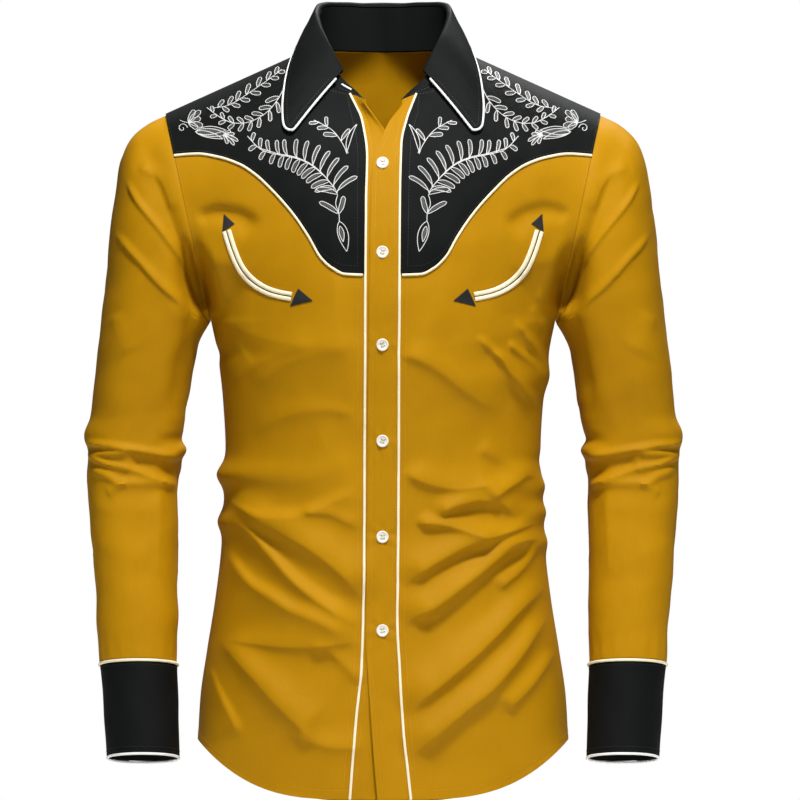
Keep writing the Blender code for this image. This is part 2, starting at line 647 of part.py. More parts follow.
def build_pockets():
    """Smile pockets: two welts side by side along one curve, and an arrowhead at each end."""
    shares = np.linspace(0, 1, SMILE_STEPS + 1)
    path = np.stack([curve(SMILE, shares), curve(SMILE, shares, 2)], axis=-1)
    run = unit(np.gradient(path, axis=0))
    upward = np.stack([-run[:, 1], run[:, 0]], axis=-1)
    upward *= np.sign(upward[-1, 1])
    for side in (LEFT, RIGHT):
        for label, sign in (("upper", 1), ("lower", -1)):
            reach = sign * np.array([WELT_PARTING / 2, WELT_PARTING / 2 + WELT_WIDTH])
            places = path[:, None] + upward[:, None] * reach[None, :, None]
            layers = [
                on_front(side, places[..., 0], places[..., 1], SEAM_GAP + lift)[0] for lift in (WELT_CLOTH, 0)
            ]
            add_wall(f"welt_{SIDE_NAMES[side]}_{label}", *layers, "cream_piping")
            corner_x, corner_z = np.array(ARROWHEADS[label], float).T
            layers = [on_front(side, corner_x, corner_z, SEAM_GAP + lift)[0] for lift in (WELT_CLOTH, 0)]
            faces = [(0, 1, 2), (5, 4, 3), (0, 3, 4, 1), (1, 4, 5, 2), (2, 5, 3, 0)]
            add_solid(f"arrow_{SIDE_NAMES[side]}_{label}", np.concatenate(layers), faces, "black_cloth")


def collar_stations():
    """Stations of the stand, front edge to middle back: the panels' own columns, and two on the band."""
    back = 1 - np.sin(np.linspace(np.pi / 2, 0, BACK_COLUMNS // 2 + 1))
    return np.concatenate([[-0.4, -0.2], front_columns(), 1 + back[1:]])


def neck_seam(stations, back):
    """Where the stand meets the body, on the wearer's left."""
    share = np.clip(stations, 0, 1)
    x, z = curve(NECK_LINE, share), curve(NECK_LINE, share, 2)
    band = np.clip(-stations / 0.4, 0, 1)
    x, z = x - 15.5 * band, z - BAND_TOP_DROP * band
    y = body_y(FRONT, x, z)
    seam = np.stack([x, y, z], axis=-1)
    behind = stations > 1
    seam[behind] = back[-1, BACK_COLUMNS // 2:][::-1][1:]
    return seam


def build_collar(back):
    stations = collar_stations()
    seam = neck_seam(stations, back)
    fold = np.stack([curve(FOLD_LINE, stations, column) for column in (1, 2, 3)], axis=-1)
    outward = unit(fold * (1, 1, 0))
    rise = unit(fold - seam)
    foot = seam + rise * 0.8 - outward * 0.5
    stand = both_halves(np.stack([foot, fold]))
    out = normals(stand)
    out *= np.sign(out[0, len(out[0]) // 2, 1])
    add_wall("collar_stand", stand, stand - out * COLLAR_CLOTH, "black_cloth")
    outward = out[-1, ::-1][:len(stations)]

    covered = stations >= LEAF_START
    stations, fold, outward, rise = stations[covered], fold[covered], outward[covered], rise[covered]
    start = fold - outward * COLLAR_CLOTH
    roll = [start + rise * high + outward * reach for high, reach in LEAF_ROLL]
    edge_x, edge_z = curve(LEAF_EDGE, stations), curve(LEAF_EDGE, stations, 2)
    edge_y = np.where(stations <= 1, body_y(FRONT, edge_x, edge_z), body_y(BACK, edge_x, edge_z))
    leaf_edge = np.stack([edge_x, edge_y, edge_z], axis=-1)
    leaf_edge += leaf_lift(stations)
    pull = (roll[-1] + leaf_edge) / 2 + (outward + (0, 0, 0.6)) * LEAF_BULGE
    fall = [
        roll[-1] * (1 - part) ** 2 + pull * 2 * part * (1 - part) + leaf_edge * part**2
        for part in (0.3, 0.62, 1)
    ]
    leaf = both_halves(np.stack(roll + fall))
    out = normals(leaf)
    out *= np.sign(out[-1, len(out[0]) // 2, 1])
    add_wall("collar_leaf", leaf, leaf - out * COLLAR_CLOTH, "black_cloth")
    build_collar_piping(leaf, out)


def leaf_lift(stations):
    """How the leaf's edge stands off the yoke: forwards in front, up at the shoulder, backwards behind."""
    turn = np.clip((stations - 0.75) / 0.5, 0, 1) * np.pi
    return LEAF_STANDOFF * np.stack([np.zeros_like(turn), -np.cos(turn), 0.4 + 1.0 * np.sin(turn)], axis=-1)


def both_halves(half):
    """A grid over the wearer's left, from front to middle back, and its mirror image on the right."""
    return np.concatenate([half * (-1, 1, 1), half[:, -2::-1]], axis=1)


def free_edge(grid):
    """A grid's points down its first column, along its last row and up its last column, past the roll."""
    first = len(LEAF_ROLL)
    return np.concatenate([grid[first:-1, 0], grid[-1], grid[first:-1, -1][::-1]])


def build_collar_piping(leaf, out):
    """A cord round the leaf's free edge, from one front end to the other."""
    rim, facing = free_edge(leaf), free_edge(out)
    steps = unit(np.diff(rim, axis=0))
    run = unit(np.concatenate([steps[:1], steps[:-1] + steps[1:], steps[-1:]]))
    across = unit(np.cross(run, facing))
    across *= np.sign((across[0] @ (leaf[-2, 0] - leaf[-2, 1])))
    corner = np.sqrt(1 - np.einsum("ij,ij->i", across, np.concatenate([steps[:1], steps])) ** 2)
    reach = (SEAM_GAP + CORD_RADIUS) / np.maximum(corner, 0.5)
    path = rim + across * reach[:, None] - facing * COLLAR_CLOTH / 2
    add_tube(
        "piping_collar", path, across, facing, CORD_RADIUS, CORD_RADIUS, "white_piping", sides=6,
    )


def build_sleeve_bands(sleeve, out):
    """The strip that binds the cuff opening, on the back of each sleeve."""
    region = (SLEEVE_BAND_ROWS, SLEEVE_BAND_COLUMNS)
    strip = inset(sleeve[region], 2 * PIPING_HALF_WIDTH)
    for side in (LEFT, RIGHT):
        layers = [mirrored(strip + out[region] * (SEAM_GAP + lift), side) for lift in (WELT_CLOTH, 0)]
        add_wall(f"sleeve_band_{SIDE_NAMES[side]}", *layers, "mustard_cloth")


def main():
    for item in list(bpy.data.objects):
        bpy.data.objects.remove(item, do_unlink=True)
    bands = build_fronts()
    back = build_back()
    build_collar(back)
    sleeve, sleeve_out = build_sleeves()
    build_sleeve_bands(sleeve, sleeve_out)
    build_cuffs()
    build_pockets()
    build_buttons(bands[LEFT])


main()
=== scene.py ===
"""Visual model of the western shirt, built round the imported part.

Sizes in the tables are in millimetres, in the part's frame: +X is the wearer's left, -Y the front and +Z up.
The shirt is filled out as if worn, with nothing inside it.
"""

import bmesh
import bpy
import numpy as np
from mathutils import Matrix, Vector


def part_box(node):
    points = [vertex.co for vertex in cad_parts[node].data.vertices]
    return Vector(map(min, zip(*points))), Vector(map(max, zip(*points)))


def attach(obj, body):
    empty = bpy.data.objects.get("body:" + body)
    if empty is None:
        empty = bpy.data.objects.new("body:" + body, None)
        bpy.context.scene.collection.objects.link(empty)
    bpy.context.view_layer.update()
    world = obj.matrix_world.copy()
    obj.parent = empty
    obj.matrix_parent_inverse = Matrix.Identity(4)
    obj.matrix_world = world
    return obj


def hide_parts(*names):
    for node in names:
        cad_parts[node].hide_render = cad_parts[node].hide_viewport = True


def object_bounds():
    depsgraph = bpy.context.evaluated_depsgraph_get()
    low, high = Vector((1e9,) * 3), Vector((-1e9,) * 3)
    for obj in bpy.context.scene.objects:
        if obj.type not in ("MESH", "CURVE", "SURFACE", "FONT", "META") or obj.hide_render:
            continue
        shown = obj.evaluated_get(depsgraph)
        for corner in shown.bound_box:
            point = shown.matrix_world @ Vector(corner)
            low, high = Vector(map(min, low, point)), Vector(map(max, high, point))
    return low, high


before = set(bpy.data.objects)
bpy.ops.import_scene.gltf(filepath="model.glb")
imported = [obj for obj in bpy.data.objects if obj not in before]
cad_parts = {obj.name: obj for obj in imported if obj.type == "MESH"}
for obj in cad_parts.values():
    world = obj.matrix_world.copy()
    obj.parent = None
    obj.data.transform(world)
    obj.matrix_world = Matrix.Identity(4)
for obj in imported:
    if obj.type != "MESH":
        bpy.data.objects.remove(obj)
cad_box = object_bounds()

MM = 0.001
FRONT, BACK = -1, 1
LEFT, RIGHT = 1, -1
SIDE_NAMES = {LEFT: "left", RIGHT: "right"}


def box_mm(node):
    """Lowest and highest corners of a CAD node, in millimetres."""
    return [np.array(corner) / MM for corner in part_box(node)]


def centre_mm(node):
    low, high = box_mm(node)
    return (low + high) / 2


# Cloth and clearances
CLOTH = 0.9
YOKE_LIFT = 1.2
YOKE_CLOTH = 0.8
YOKE_SEAT = 0.15
COLLAR_CLOTH = 1.4
SEAM_GAP = 0.3
LAP = {LEFT: 2.1, RIGHT: 0.0}
LAP_FULL, LAP_START = 22.0, 62.0
LAP_FLARE_Z = -600
PIPING_HALF_WIDTH, PIPING_HALF_HEIGHT = 1.45, 1.25
PIPING_LIFT = 0.3 + PIPING_HALF_HEIGHT * 0.6
YOKE_CLEAR = PIPING_HALF_WIDTH * 0.6
CORD_RADIUS = 1.3
STITCH_PITCH, STITCH_RADIUS = 3.3, 0.32
SHARP_ANGLE = 1.0
THREAD_PITCH = 0.00042
WAVE_SCALE = 0.3142

# Body
TIP_X, TIP_Z = 218.0, -63.0
ARMPIT_X, ARMPIT_Z = 173.0, -270.0
ARMHOLE_HALF_DEPTH = {FRONT: 75.0, BACK: 62.0}
SIDE_Y = 5.0
SHOULDER_SLOPE = 0.4517
NECK_X = 72.0
NECK_Z = TIP_Z + (TIP_X - NECK_X) * SHOULDER_SLOPE
SQUARENESS = 2.3
ROUND_POWER, ARMHOLE_POWER = 0.5, 1.35
FRONT_HEM = box_mm("front_left")[0][2]
BACK_HEM = box_mm("back")[0][2]
SIDE_HEM = -690.0
HEM_FOLD, HEM_FOLD_ROWS = 0.5, 5

# height, half width of the body at its side seams
HALF_WIDTH = (
    (-760, 187), (-690, 186), (-650, 184), (-600, 177), (-550, 169), (-500, 163),
    (-450, 160), (-400, 158.5), (-350, 161), (-300, 167), (-270, 173),
)
# side, height, reach and width of the small bulges that folds make in the outline
SIDE_BULGES = (
    (RIGHT, -424, 8.5, 12), (RIGHT, -471, 5.5, 11), (RIGHT, -303, -2, 8), (LEFT, -436, 3.5, 9),
    (LEFT, -462, 3.5, 9), (LEFT, -492, 3, 10), (LEFT, -410, -1.5, 8), (LEFT, -326, 4, 14),
)
# height, place of the face's middle
MIDDLE_DEPTH = {
    FRONT: (
        (-760, -117), (-650, -112), (-560, -107), (-470, -104), (-400, -107), (-320, -115), (-250, -119),
        (-200, -116), (-160, -108), (-120, -96), (-80, -79), (-45, -63), (10, -46),
    ),
    BACK: (
        (-760, 113), (-680, 111), (-600, 105), (-520, 93), (-450, 86), (-400, 88), (-320, 99), (-240, 107),
        (-170, 107), (-110, 99), (-60, 87), (-20, 80), (10, 76),
    ),
}
# distance from the middle, height over which the body turns over at the shoulder seam
SHOULDER_ROUND = ((0, 60), (NECK_X, 65), (150, 88), (TIP_X, 103))

# height, distance from the middle of the band seam and of the free edge, on the upper and the under front
BAND_SEAM = {
    LEFT: ((-748, 27.5), (-709, 23.5), (-678, 20.5), (-617, 16.6), (-571, 14.3), (-510, 15), (-150, 17),
           (-93, 18.5), (-68, 24), (-43, 33.5)),
    RIGHT: ((-748, 33), (-671, 27), (-617, 21.6), (-571, 20), (-510, 19), (-150, 17), (-106, 16),
            (-70, 21), (-43, 33.5)),
}
BAND_EDGE = {
    LEFT: ((-748, -5.5), (-709, -9), (-625, -15), (-593, -17), (-510, -16.3), (-150, -12.5), (-108, -10),
           (-89, -2), (-70, 5), (-48, 19)),
    RIGHT: ((-748, 2), (-671, -5), (-600, -11), (-510, -12), (-110, -12), (-78, -2), (-65, 7), (-48, 18)),
}
BAND_COLUMNS, BAND_STITCH_INSET = 16, 5.0
BAND_TOP_WIDTH, BAND_TOP_DROP = 15.5, 5.5
BAND_TOP_CURL = {LEFT: -3.0, RIGHT: 10.0}
BAND_DROP_START, BAND_DROP_END = -90.0, -43.0

# distance from the middle, height of the front and back yokes' lower edges
YOKE_LINE = {
    FRONT: ((15, -224.5), (38, -223.5), (51, -217), (62.5, -206), (74, -186), (86, -168), (98, -153),
            (112, -138), (127, -124), (143, -113.5), (165, -106), (185, -103), (214, -105)),
    BACK: ((0, -190), (20, -185), (60, -160), (110, -134), (160, -117), (214, -110)),
}
YOKE_MEAN_Z = -150.0
# share of the way from the band seam to the shoulder, distance from the middle, height
NECK_LINE = ((0, 33.5, -42.5), (0.3, 47, -38.5), (0.55, 58.5, -31), (0.8, 68, -17), (1, NECK_X, NECK_Z))
BACK_NECK_Z = 2.0

# Collar. Stations run from the band seam at 0 to the shoulder at 1 and the middle of the back at 2.
COLLAR_START = -0.4
# station, x, y, z of the line where the leaf folds over the stand
FOLD_LINE = (
    (-0.4, 19, -60, -47), (0, 29, -58.5, -37.5), (0.3, 37, -56.5, -30.5), (0.5, 43.5, -54, -23.5),
    (0.643, 48, -50, -14.5), (0.766, 53, -43, -3), (0.866, 58, -32, 9.5), (0.94, 62.5, -17, 22),
    (1, 65.5, 2, 35), (1.134, 62, 33, 45), (1.293, 52, 50, 47.5), (1.5, 36, 60, 47.5),
    (1.741, 18, 65.5, 46.5), (2, 0, 67, 46.5),
)
# station, distance from the middle and height of the leaf's outer edge
LEAF_EDGE = (
    (0.5, 91, -83), (0.643, 98.5, -76), (0.766, 100, -58), (0.866, 98, -38), (0.94, 94, -20), (1, 87.5, -4.2),
    (1.134, 77, -7), (1.293, 61, -8), (1.5, 42, -8.5), (2, 0, -8.5),
)
LEAF_START = 0.5
LEAF_STANDOFF = 6.4
LEAF_BULGE = 3.0
LEAF_RIM_ROW = 25
LEAF_STITCH_INSET, COLLAR_CORD_PITCH = 4.0, 1.5
STAND_DASH = np.s_[8, 34:58:2]
# rise and reach of the roll over the stand's top edge
LEAF_ROLL = ((1.2, 0), (3.8, 0.8), (5.1, 3.2), (3.6, 6.2))

# Sleeve sections: outer x, outer z, inner x, inner z, half depth, middle y, tilt
SLEEVE_SECTIONS = (
    (218, -63, 173, -270, 62, 5, 0), (235, -71, 173.7, -271, 67, 5, 0), (250, -84, 174.5, -272.3, 71, 5, 0),
    (261, -103, 175.3, -273.7, 73.5, 5, 0), (267.5, -130, 176.2, -275.3, 75, 5, 0),
    (271.5, -163, 177.4, -277.3, 75, 5, 0), (275.5, -200, 179, -280, 73.5, 5.5, 0),
    (280, -240, 181.5, -284.5, 71, 6, 0), (284, -278, 186, -295, 68, 7, 0),
    (288, -312, 190, -316, 64, 8.5, 0), (291.5, -342, 194.5, -342, 60, 10, 0),
    (294.5, -366, 199, -366, 56, 12, 0), (300.5, -385, 201.5, -385, 54, 12.5, 0),
    (296.5, -405, 200, -405, 52, 12, 0.02), (297.5, -430, 206.5, -430, 50, 9, 0.06),
    (295, -468, 206, -468, 48, 4, 0.11), (291.5, -508, 206.5, -508, 45.5, -3, 0.14),
    (288.5, -550, 206.5, -550, 43, -10, 0.15), (286, -585, 206.5, -585, 40.5, -16, 0.15),
    (284.5, -613, 207, -613, 38.7, -20.5, 0.15),
)
CUFF_SECTIONS = (
    (284.3, -613.6, 206.8, -613.6, 38.7, -20.7, 0.15), (280.5, -660, 205.5, -660, 37.6, -29, 0.15),
    (277.3, -707, 204, -707, 36.5, -37, 0.15),
)
ARM_SQUARENESS = 2.1
ELBOW_Z = -397
RIPPLE_SEEDS = {LEFT: 11, RIGHT: 12}
GATHERS = 13
# The slit above the cuff, in whole turns round the arm
SLIT_TURNS = 11.15 / 16, 11.95 / 16
CUFF_STEPS = 16
CUFF_LAP_STEPS = 2
CUFF_LAP_START = 5
CUFF_LAP_DROP = 2.2

# Folds of the body, by face: height, width above and below the crease, places (x, z) along it
FOLDS = {
    FRONT: (
        (5, 62, 26, ((-165, -262), (-130, -284), (-90, -293), (-50, -296), (-16, -292))),
        (4, 62, 30, ((165, -262), (130, -280), (90, -290), (50, -296), (16, -292))),
        (3.4, 50, 34, ((-168, -412), (-140, -424), (-112, -431), (-80, -429), (-52, -420), (-22, -404))),
        (4.5, 6, 13, ((-166, -446), (-148, -456), (-120, -467), (-94, -467), (-66, -459), (-38, -447),
         (-22, -438))),
        (3, 8, 4, ((-84, -462), (-56, -463), (-40, -470), (-20, -478))),
        (12, 22, 10, ((-166, -440), (-158, -447), (-140, -460), (-123, -471), (-103, -482), (-78, -496),
         (-58, -510), (-40, -525), (-24, -543), (-16, -556))),
        (10, 8, 10.5, ((-152, -468), (-143, -477), (-128, -490), (-113, -507), (-95, -527), (-78, -542),
         (-58, -556), (-38, -569), (-20, -578))),
        (9.5, 9, 17, ((-163, -492), (-156, -507), (-150, -517), (-135, -534), (-115, -547), (-95, -560),
         (-70, -570), (-43, -584), (-28, -592))),
        (12.5, 20, 13, ((-166, -584), (-159, -595), (-145, -612), (-128, -630), (-110, -650), (-92, -668),
         (-76, -682), (-62, -690))),
        (5, 14, 8, ((-92, -684), (-70, -692), (-44, -697), (-16, -697))),
        (4.6, 16, 5, ((-164, -588), (-128, -593), (-103, -596), (-78, -597), (-60, -595), (-28, -591),
         (-16, -589))),
        (3.2, 9, 5, ((-76, -598), (-60, -599), (-45, -609), (-30, -625), (-24, -636))),
        (5.5, 5, 13, ((-177, -612), (-172, -628), (-163, -650), (-152, -672), (-146, -690))),
        (2.4, 12, 8, ((-160, -336), (-132, -318), (-100, -302), (-66, -296))),
        (2.6, 16, 9, ((-132, -338), (-92, -312), (-58, -302), (-22, -300))),
        (2.2, 10, 7, ((-166, -322), (-150, -312), (-134, -300))),
        (12, 15, 4.2, ((162, -470), (152, -473), (137, -478), (111, -487), (86, -495), (66, -505),
         (41, -520), (18, -536))),
        (14, 15, 4.4, ((168, -482), (154, -488), (133, -495), (116, -508), (98, -523), (76, -540),
         (51, -558), (33, -566), (18, -576))),
        (7.5, 8, 3.5, ((164, -486), (159, -493), (141, -518), (122, -534), (114, -542))),
        (14, 20, 6, ((170, -526), (161, -538), (138, -560), (116, -583), (93, -605), (66, -628), (41, -648),
         (22, -668))),
        (15, 18, 7, ((171, -556), (158, -577), (141, -603), (128, -619), (111, -638), (86, -658), (61, -679),
         (33, -701), (22, -711))),
        (9, 11, 4.2, ((176, -597), (163, -618), (147, -638), (131, -654), (120, -664))),
        (9.5, 14, 4.4, ((164, -432), (156, -427), (147, -425), (133, -433), (118, -443), (108, -452))),
        (10.5, 13, 4.6, ((52, -468), (63, -460), (82, -453), (99, -450), (117, -452), (128, -460),
         (136, -470))),
        (6, 18, 6, ((18, -420), (44, -433), (72, -438), (98, -436), (118, -428))),
        (3, 13, 6, ((92, -396), (110, -406), (132, -417), (154, -428))),
        (8, 10, 5, ((30, -472), (41, -473), (62, -475), (82, -480), (105, -488), (116, -494))),
        (4.6, 18, 6, ((12, -303), (30, -308), (49, -316), (66, -328), (85, -343), (101, -353), (122, -362))),
        (5.6, 5, 4.2, ((92, -284), (109, -300), (120, -310), (130, -325), (141, -340), (150, -353),
         (156, -361))),
        (5, 6, 5, ((108, -299), (120, -310), (130, -325), (141, -340), (150, -353), (158, -364))),
        (5.5, 4.5, 3.6, ((124, -290), (136, -302), (145, -309), (154, -317), (166, -331))),
        (5.6, 5, 4.5, ((130, -270), (141, -281), (149, -293), (158, -306), (166, -318), (169, -334),
         (167, -356))),
        (6, 6, 6, ((141, -281), (149, -293), (158, -306), (166, -318), (169, -334), (167, -356))),
        (4, 4, 3.6, ((148, -254), (157, -272), (162, -282), (170, -300))),
        (3, 4, 3.6, ((155, -238), (162, -260), (168, -282))),
        (2, 10, 7, ((-24, -366), (-60, -360), (-98, -366), (-134, -384))),
        (-6, 6, 12, ((-190, -167), (-166, -161), (-146, -164), (-124, -180))),
        (-5.2, 6, 12, ((190, -165), (164, -158), (144, -163), (122, -180))),
        (3.6, 12, 12, ((-186, -180), (-172, -212), (-166, -250), (-168, -300))),
        (3.6, 12, 12, ((186, -180), (174, -212), (168, -250), (170, -296))),
        (2.2, 12, 9, ((-176, -212), (-156, -214), (-134, -230))),
        (2.2, 12, 9, ((178, -210), (156, -212), (134, -228))),
    ),
    BACK: (
        (10.5, 20, 5.4, ((-160, -428), (-120, -446), (-80, -456), (-40, -458))),
        (9, 16, 4.8, ((-158, -462), (-115, -482), (-70, -492), (-25, -490))),
        (10.5, 20, 5.4, ((160, -438), (118, -460), (78, -474), (30, -484))),
        (9, 16, 4.8, ((156, -398), (112, -418), (70, -430), (24, -434))),
        (7.5, 15, 4.8, ((158, -500), (124, -522), (84, -534), (44, -530))),
        (6.8, 14, 4.8, ((-158, -512), (-116, -530), (-70, -540))),
        (4.5, 14, 5.4, ((-60, -410), (-20, -418), (20, -412), (52, -400))),
        (5.2, 16, 8.4, ((-150, -270), (-110, -238), (-74, -214))),
        (5.2, 16, 8.4, ((152, -266), (112, -236), (78, -212))),
        (9, 22, 10.8, ((-140, -600), (-100, -650), (-86, -720))),
        (9, 22, 10.8, ((132, -590), (104, -650), (92, -724))),
        (5.2, 18, 8.4, ((-20, -560), (-4, -620), (8, -700))),
        (5.4, 12, 4.2, ((-172, -212), (-150, -240), (-120, -262))),
        (5.4, 12, 4.2, ((174, -214), (152, -240), (124, -264))),
    ),
}
# Folds of both sleeves: the same, with distances from the middle
SLEEVE_FOLDS = {
    FRONT: (
        (2.6, 5, 1.7, ((260, -126), (254, -137), (247, -150), (223, -181), (203, -208), (188, -224))),
        (2.8, 5, 1.7, ((271, -178), (263, -189), (247, -208), (223, -235), (207, -250), (196, -261))),
        (2.8, 12, 5, ((248, -117), (236, -121), (223, -128), (213, -145), (208, -162))),
        (2.2, 14, 12, ((272, -262), (262, -290), (254, -306))),
        (1.6, 12, 12, ((216, -110), (206, -160), (200, -200), (196, -230))),
        (-8.5, 13, 13, ((202, -180), (192, -208), (185, -236), (182, -262), (185, -290), (192, -326),
         (202, -372))),
        (4.6, 4, 2.6, ((312, -388), (297, -392), (275, -395), (248, -400), (222, -405), (194, -410))),
        (4.4, 4, 4.2, ((304, -402), (284, -404), (266, -404), (250, -400))),
        (4.2, 4, 2.6, ((308, -404), (293, -407), (275, -415), (250, -420), (228, -429), (198, -441))),
        (3.6, 6, 3, ((300, -417), (277, -426), (262, -434), (238, -434), (214, -435), (200, -437))),
        (2.4, 4, 3, ((256, -431), (264, -436), (277, -445))),
        (-3.2, 9, 9, ((256, -412), (228, -417), (202, -424))),
        (2.2, 7, 7, ((227, -436), (226, -470), (226, -530))),
        (1.6, 14, 10, ((298, -450), (270, -462), (236, -460), (210, -452))),
        (1.4, 16, 12, ((292, -490), (262, -506), (232, -512))),
    ),
    BACK: (
        (9, 16, 4.8, ((294, -348), (264, -360), (232, -366), (204, -366))),
        (7.5, 12, 4.2, ((298, -374), (266, -384), (232, -390), (204, -388))),
        (6.8, 12, 4.2, ((298, -402), (262, -410), (226, -410), (206, -406))),
        (6, 14, 4.8, ((262, -186), (232, -208), (204, -236), (188, -262))),
        (5.2, 13, 4.8, ((270, -232), (244, -258), (216, -280), (196, -296))),
    ),
}
# Each fold gets this many steps between two of its places, and a crest this far across.
FOLD_CORNER_STEPS, FOLD_CREST = 4, 0.7
# Tuck at the armhole seam: depth, height and reach along it, and widths off it
ARMPIT_TUCK = {FRONT: 34.0, BACK: 12.0}
TUCK_Z, TUCK_REACH = -236, 29
BODY_TUCK_WIDTH, SLEEVE_TUCK_WIDTH = 8, 19

# Smile pocket: share of its length, distance from the middle, height
SMILE = (
    (0, 156.5, -180), (0.17, 150.5, -199), (0.34, 142.5, -217), (0.52, 129, -232), (0.7, 114, -240.5),
    (0.85, 103, -243.8), (1, 91.2, -246),
)
WELT_WIDTH, WELT_PARTING, WELT_HEIGHT, WELT_EDGE = 4.2, 0.8, 1.3, 0.45
WELT_STITCH_GAP = 1.3
ARROWHEADS = {
    "upper": ((159, -163.5), (148.5, -173), (160.5, -180.5)),
    "lower": ((70.5, -250), (84.5, -238), (92.5, -255.5)),
}

FRONT_BUTTONS = range(1, 7)
BUTTON_RADIUS, BUTTON_HEIGHT, BUTTON_SIDES = 6.25, 2.4, 48
# share of the radius, share of the height
BUTTON_PROFILE = (
    (0, 0), (0.78, 0), (0.93, 0.08), (1, 0.36), (0.985, 0.66), (0.93, 0.9), (0.86, 1), (0.79, 0.97),
    (0.72, 0.84), (0.64, 0.7), (0.5, 0.63), (0.25, 0.6), (0, 0.6),
)
HOLE_RADIUS, HOLE_PLACE = 0.8, 1.55
CUFF_BUTTON_RAISE = 0.6
BUTTONHOLE_HALF_WIDTH, BUTTONHOLE_HALF_LENGTH = 0.9, 8.0

# Embroidery
CHAIN_RADIUS, SATIN_HALF_HEIGHT = 0.5, 0.28

# Steps of the fine grids
FRONT_COLUMNS, BACK_COLUMNS = 104, 66
BODY_STEPS = {
    FRONT: np.interp(np.arange(262), (0, 16, 196, 261), (0, 0.1, 0.67, 1)),
    BACK: np.linspace(0, 1, 136),
}
CHEST_STEPS = np.linspace(0, 1, 44)
YOKE_STEPS = np.linspace(0, 1, 40)
SHOULDER_STEPS = np.linspace(0, 1, 24)
SLEEVE_TURNS, SLEEVE_RINGS = 156, 212
# The rings of the sleeve cap are closer together. It ends at this section.
CAP_SECTIONS, CAP_RINGS = 8, 90

# Stage, in metres and watts
SENSOR, LENS = 36, 716
VIEW_X, VIEW_RAISE, VIEW_DISTANCE = 0.017, 0.0045, 16.0
FLOOR_RADIUS, FLOOR_DROP = 1.05, 0.066
AMBIENT = 0.12


def smooth_step(part):
    part = np.clip(part, 0, 1)
    return part * part * (3 - 2 * part)


def bell(distance, width):
    """1 at no distance, falling to 0 on both sides over about two widths."""
    return np.exp(-((distance / width) ** 2))


def unit(vectors):
    return vectors / np.maximum(np.linalg.norm(vectors, axis=-1, keepdims=True), 1e-9)


def signed_power(value, power):
    return np.sign(value) * np.abs(value) ** power


def curve(rows, at, column=1):
    """A column of a table, read at a value of its first column along a smooth curve with no overshoot."""
    table = np.array(rows, float)
    keys, values = table[:, 0], table[:, column]
    grades = np.diff(values) / np.diff(keys)
    before, after = grades[:-1], grades[1:]
    level = before * after <= 0
    inner = 2 * before * after / np.where(level, 1, before + after)
    slopes = np.concatenate([grades[:1], np.where(level, 0, inner), grades[-1:]])
    at = np.clip(at, keys[0], keys[-1])
    low = np.clip(np.searchsorted(keys, at, side="right") - 1, 0, len(keys) - 2)
    span = keys[low + 1] - keys[low]
    part = (at - keys[low]) / span
    rest = 1 - part
    bend = span * part * rest * (slopes[low] * rest - slopes[low + 1] * part)
    return values[low] * (1 + 2 * part) * rest**2 + values[low + 1] * part**2 * (3 - 2 * part) + bend


def curves(rows, at):
    """The same for all columns after the first, side by side on a last axis."""
    return np.stack([curve(rows, at, column) for column in range(1, len(rows[0]))], axis=-1)


def along_rows(rows, at):
    """Rows of a table at numbers that may lie between its rows, along smooth curves."""
    return curves(np.column_stack([np.arange(len(rows)), np.array(rows, float)]), at)


def distances(lines, axis=0):
    """How far along its line each point lies. The lines run along an axis."""
    steps = np.linalg.norm(np.diff(lines, axis=axis), axis=-1)
    return np.insert(np.cumsum(steps, axis=axis), 0, 0, axis=axis)


def along_line(places, x, z):
    """For each point: its distance from a line of places, its share of the way along, its height above."""
    nearest = np.full(np.broadcast(x, z).shape, 1e9)
    share, above = np.zeros(nearest.shape), np.zeros(nearest.shape)
    far = distances(places)
    for step, (start, end) in enumerate(zip(places[:-1], places[1:])):
        run = end - start
        along = np.clip(((x - start[0]) * run[0] + (z - start[1]) * run[1]) / (run @ run), 0, 1)
        off_x, off_z = x - start[0] - along * run[0], z - start[1] - along * run[1]
        away = np.hypot(off_x, off_z)
        closer = away < nearest
        share = np.where(closer, far[step] + along * (far[step + 1] - far[step]), share)
        above = np.where(closer, off_z, above)
        nearest = np.minimum(away, nearest)
    return nearest, share / far[-1], above


def relief(folds, x, z):
    """How far folds lift the cloth at x, z.

    Each is a ridge, soft above its crest and steepest right below it. A negative height gives a round trough.
    """
    lift = np.zeros(np.broadcast(x, z).shape)
    for height, width_above, width_below, places in folds:
        reach = 3 * max(width_above, width_below)
        low, high = np.min(places, axis=0) - reach, np.max(places, axis=0) + reach
        near = (x > low[0]) & (x < high[0]) & (z > low[1]) & (z < high[1])
        if not near.any():
            continue
        corners = (len(places) - 1) * FOLD_CORNER_STEPS + 1
        line = along_rows(places, np.linspace(0, len(places) - 1, corners))
        away, share, above = along_line(line, x[near], z[near])
        away = np.hypot(away, FOLD_CREST) - FOLD_CREST
        # Where a crest runs straight up, a rounding error doesn't count as above.
        is_above = smooth_step(0.5 + above / 2) > 0.5
        # A fold gets wider from its first place to its last, and dies out at both ends.
        widen = 0.65 + 0.7 * share
        taper = smooth_step(6 * share) * smooth_step(5 * (1 - share))
        far = away / (widen * np.where(is_above, width_above, width_below))
        lift[near] += height * taper * np.where(is_above | (height < 0), bell(far, 1), np.exp(-far))
    return lift


def ripple(x, z, seed, longest=95.0):
    """A faint unevenness of cloth, in millimetres: a few long waves in fixed directions."""
    waves = np.random.default_rng(seed)
    total = np.zeros(np.broadcast(x, z).shape)
    for length in np.geomspace(24, longest, 9):
        turn, phase = waves.uniform(0, np.pi), waves.uniform(0, 2 * np.pi)
        across = x * np.cos(turn) + z * np.sin(turn)
        total += 0.0035 * length * np.sin(across * 2 * np.pi / length + phase)
    return total


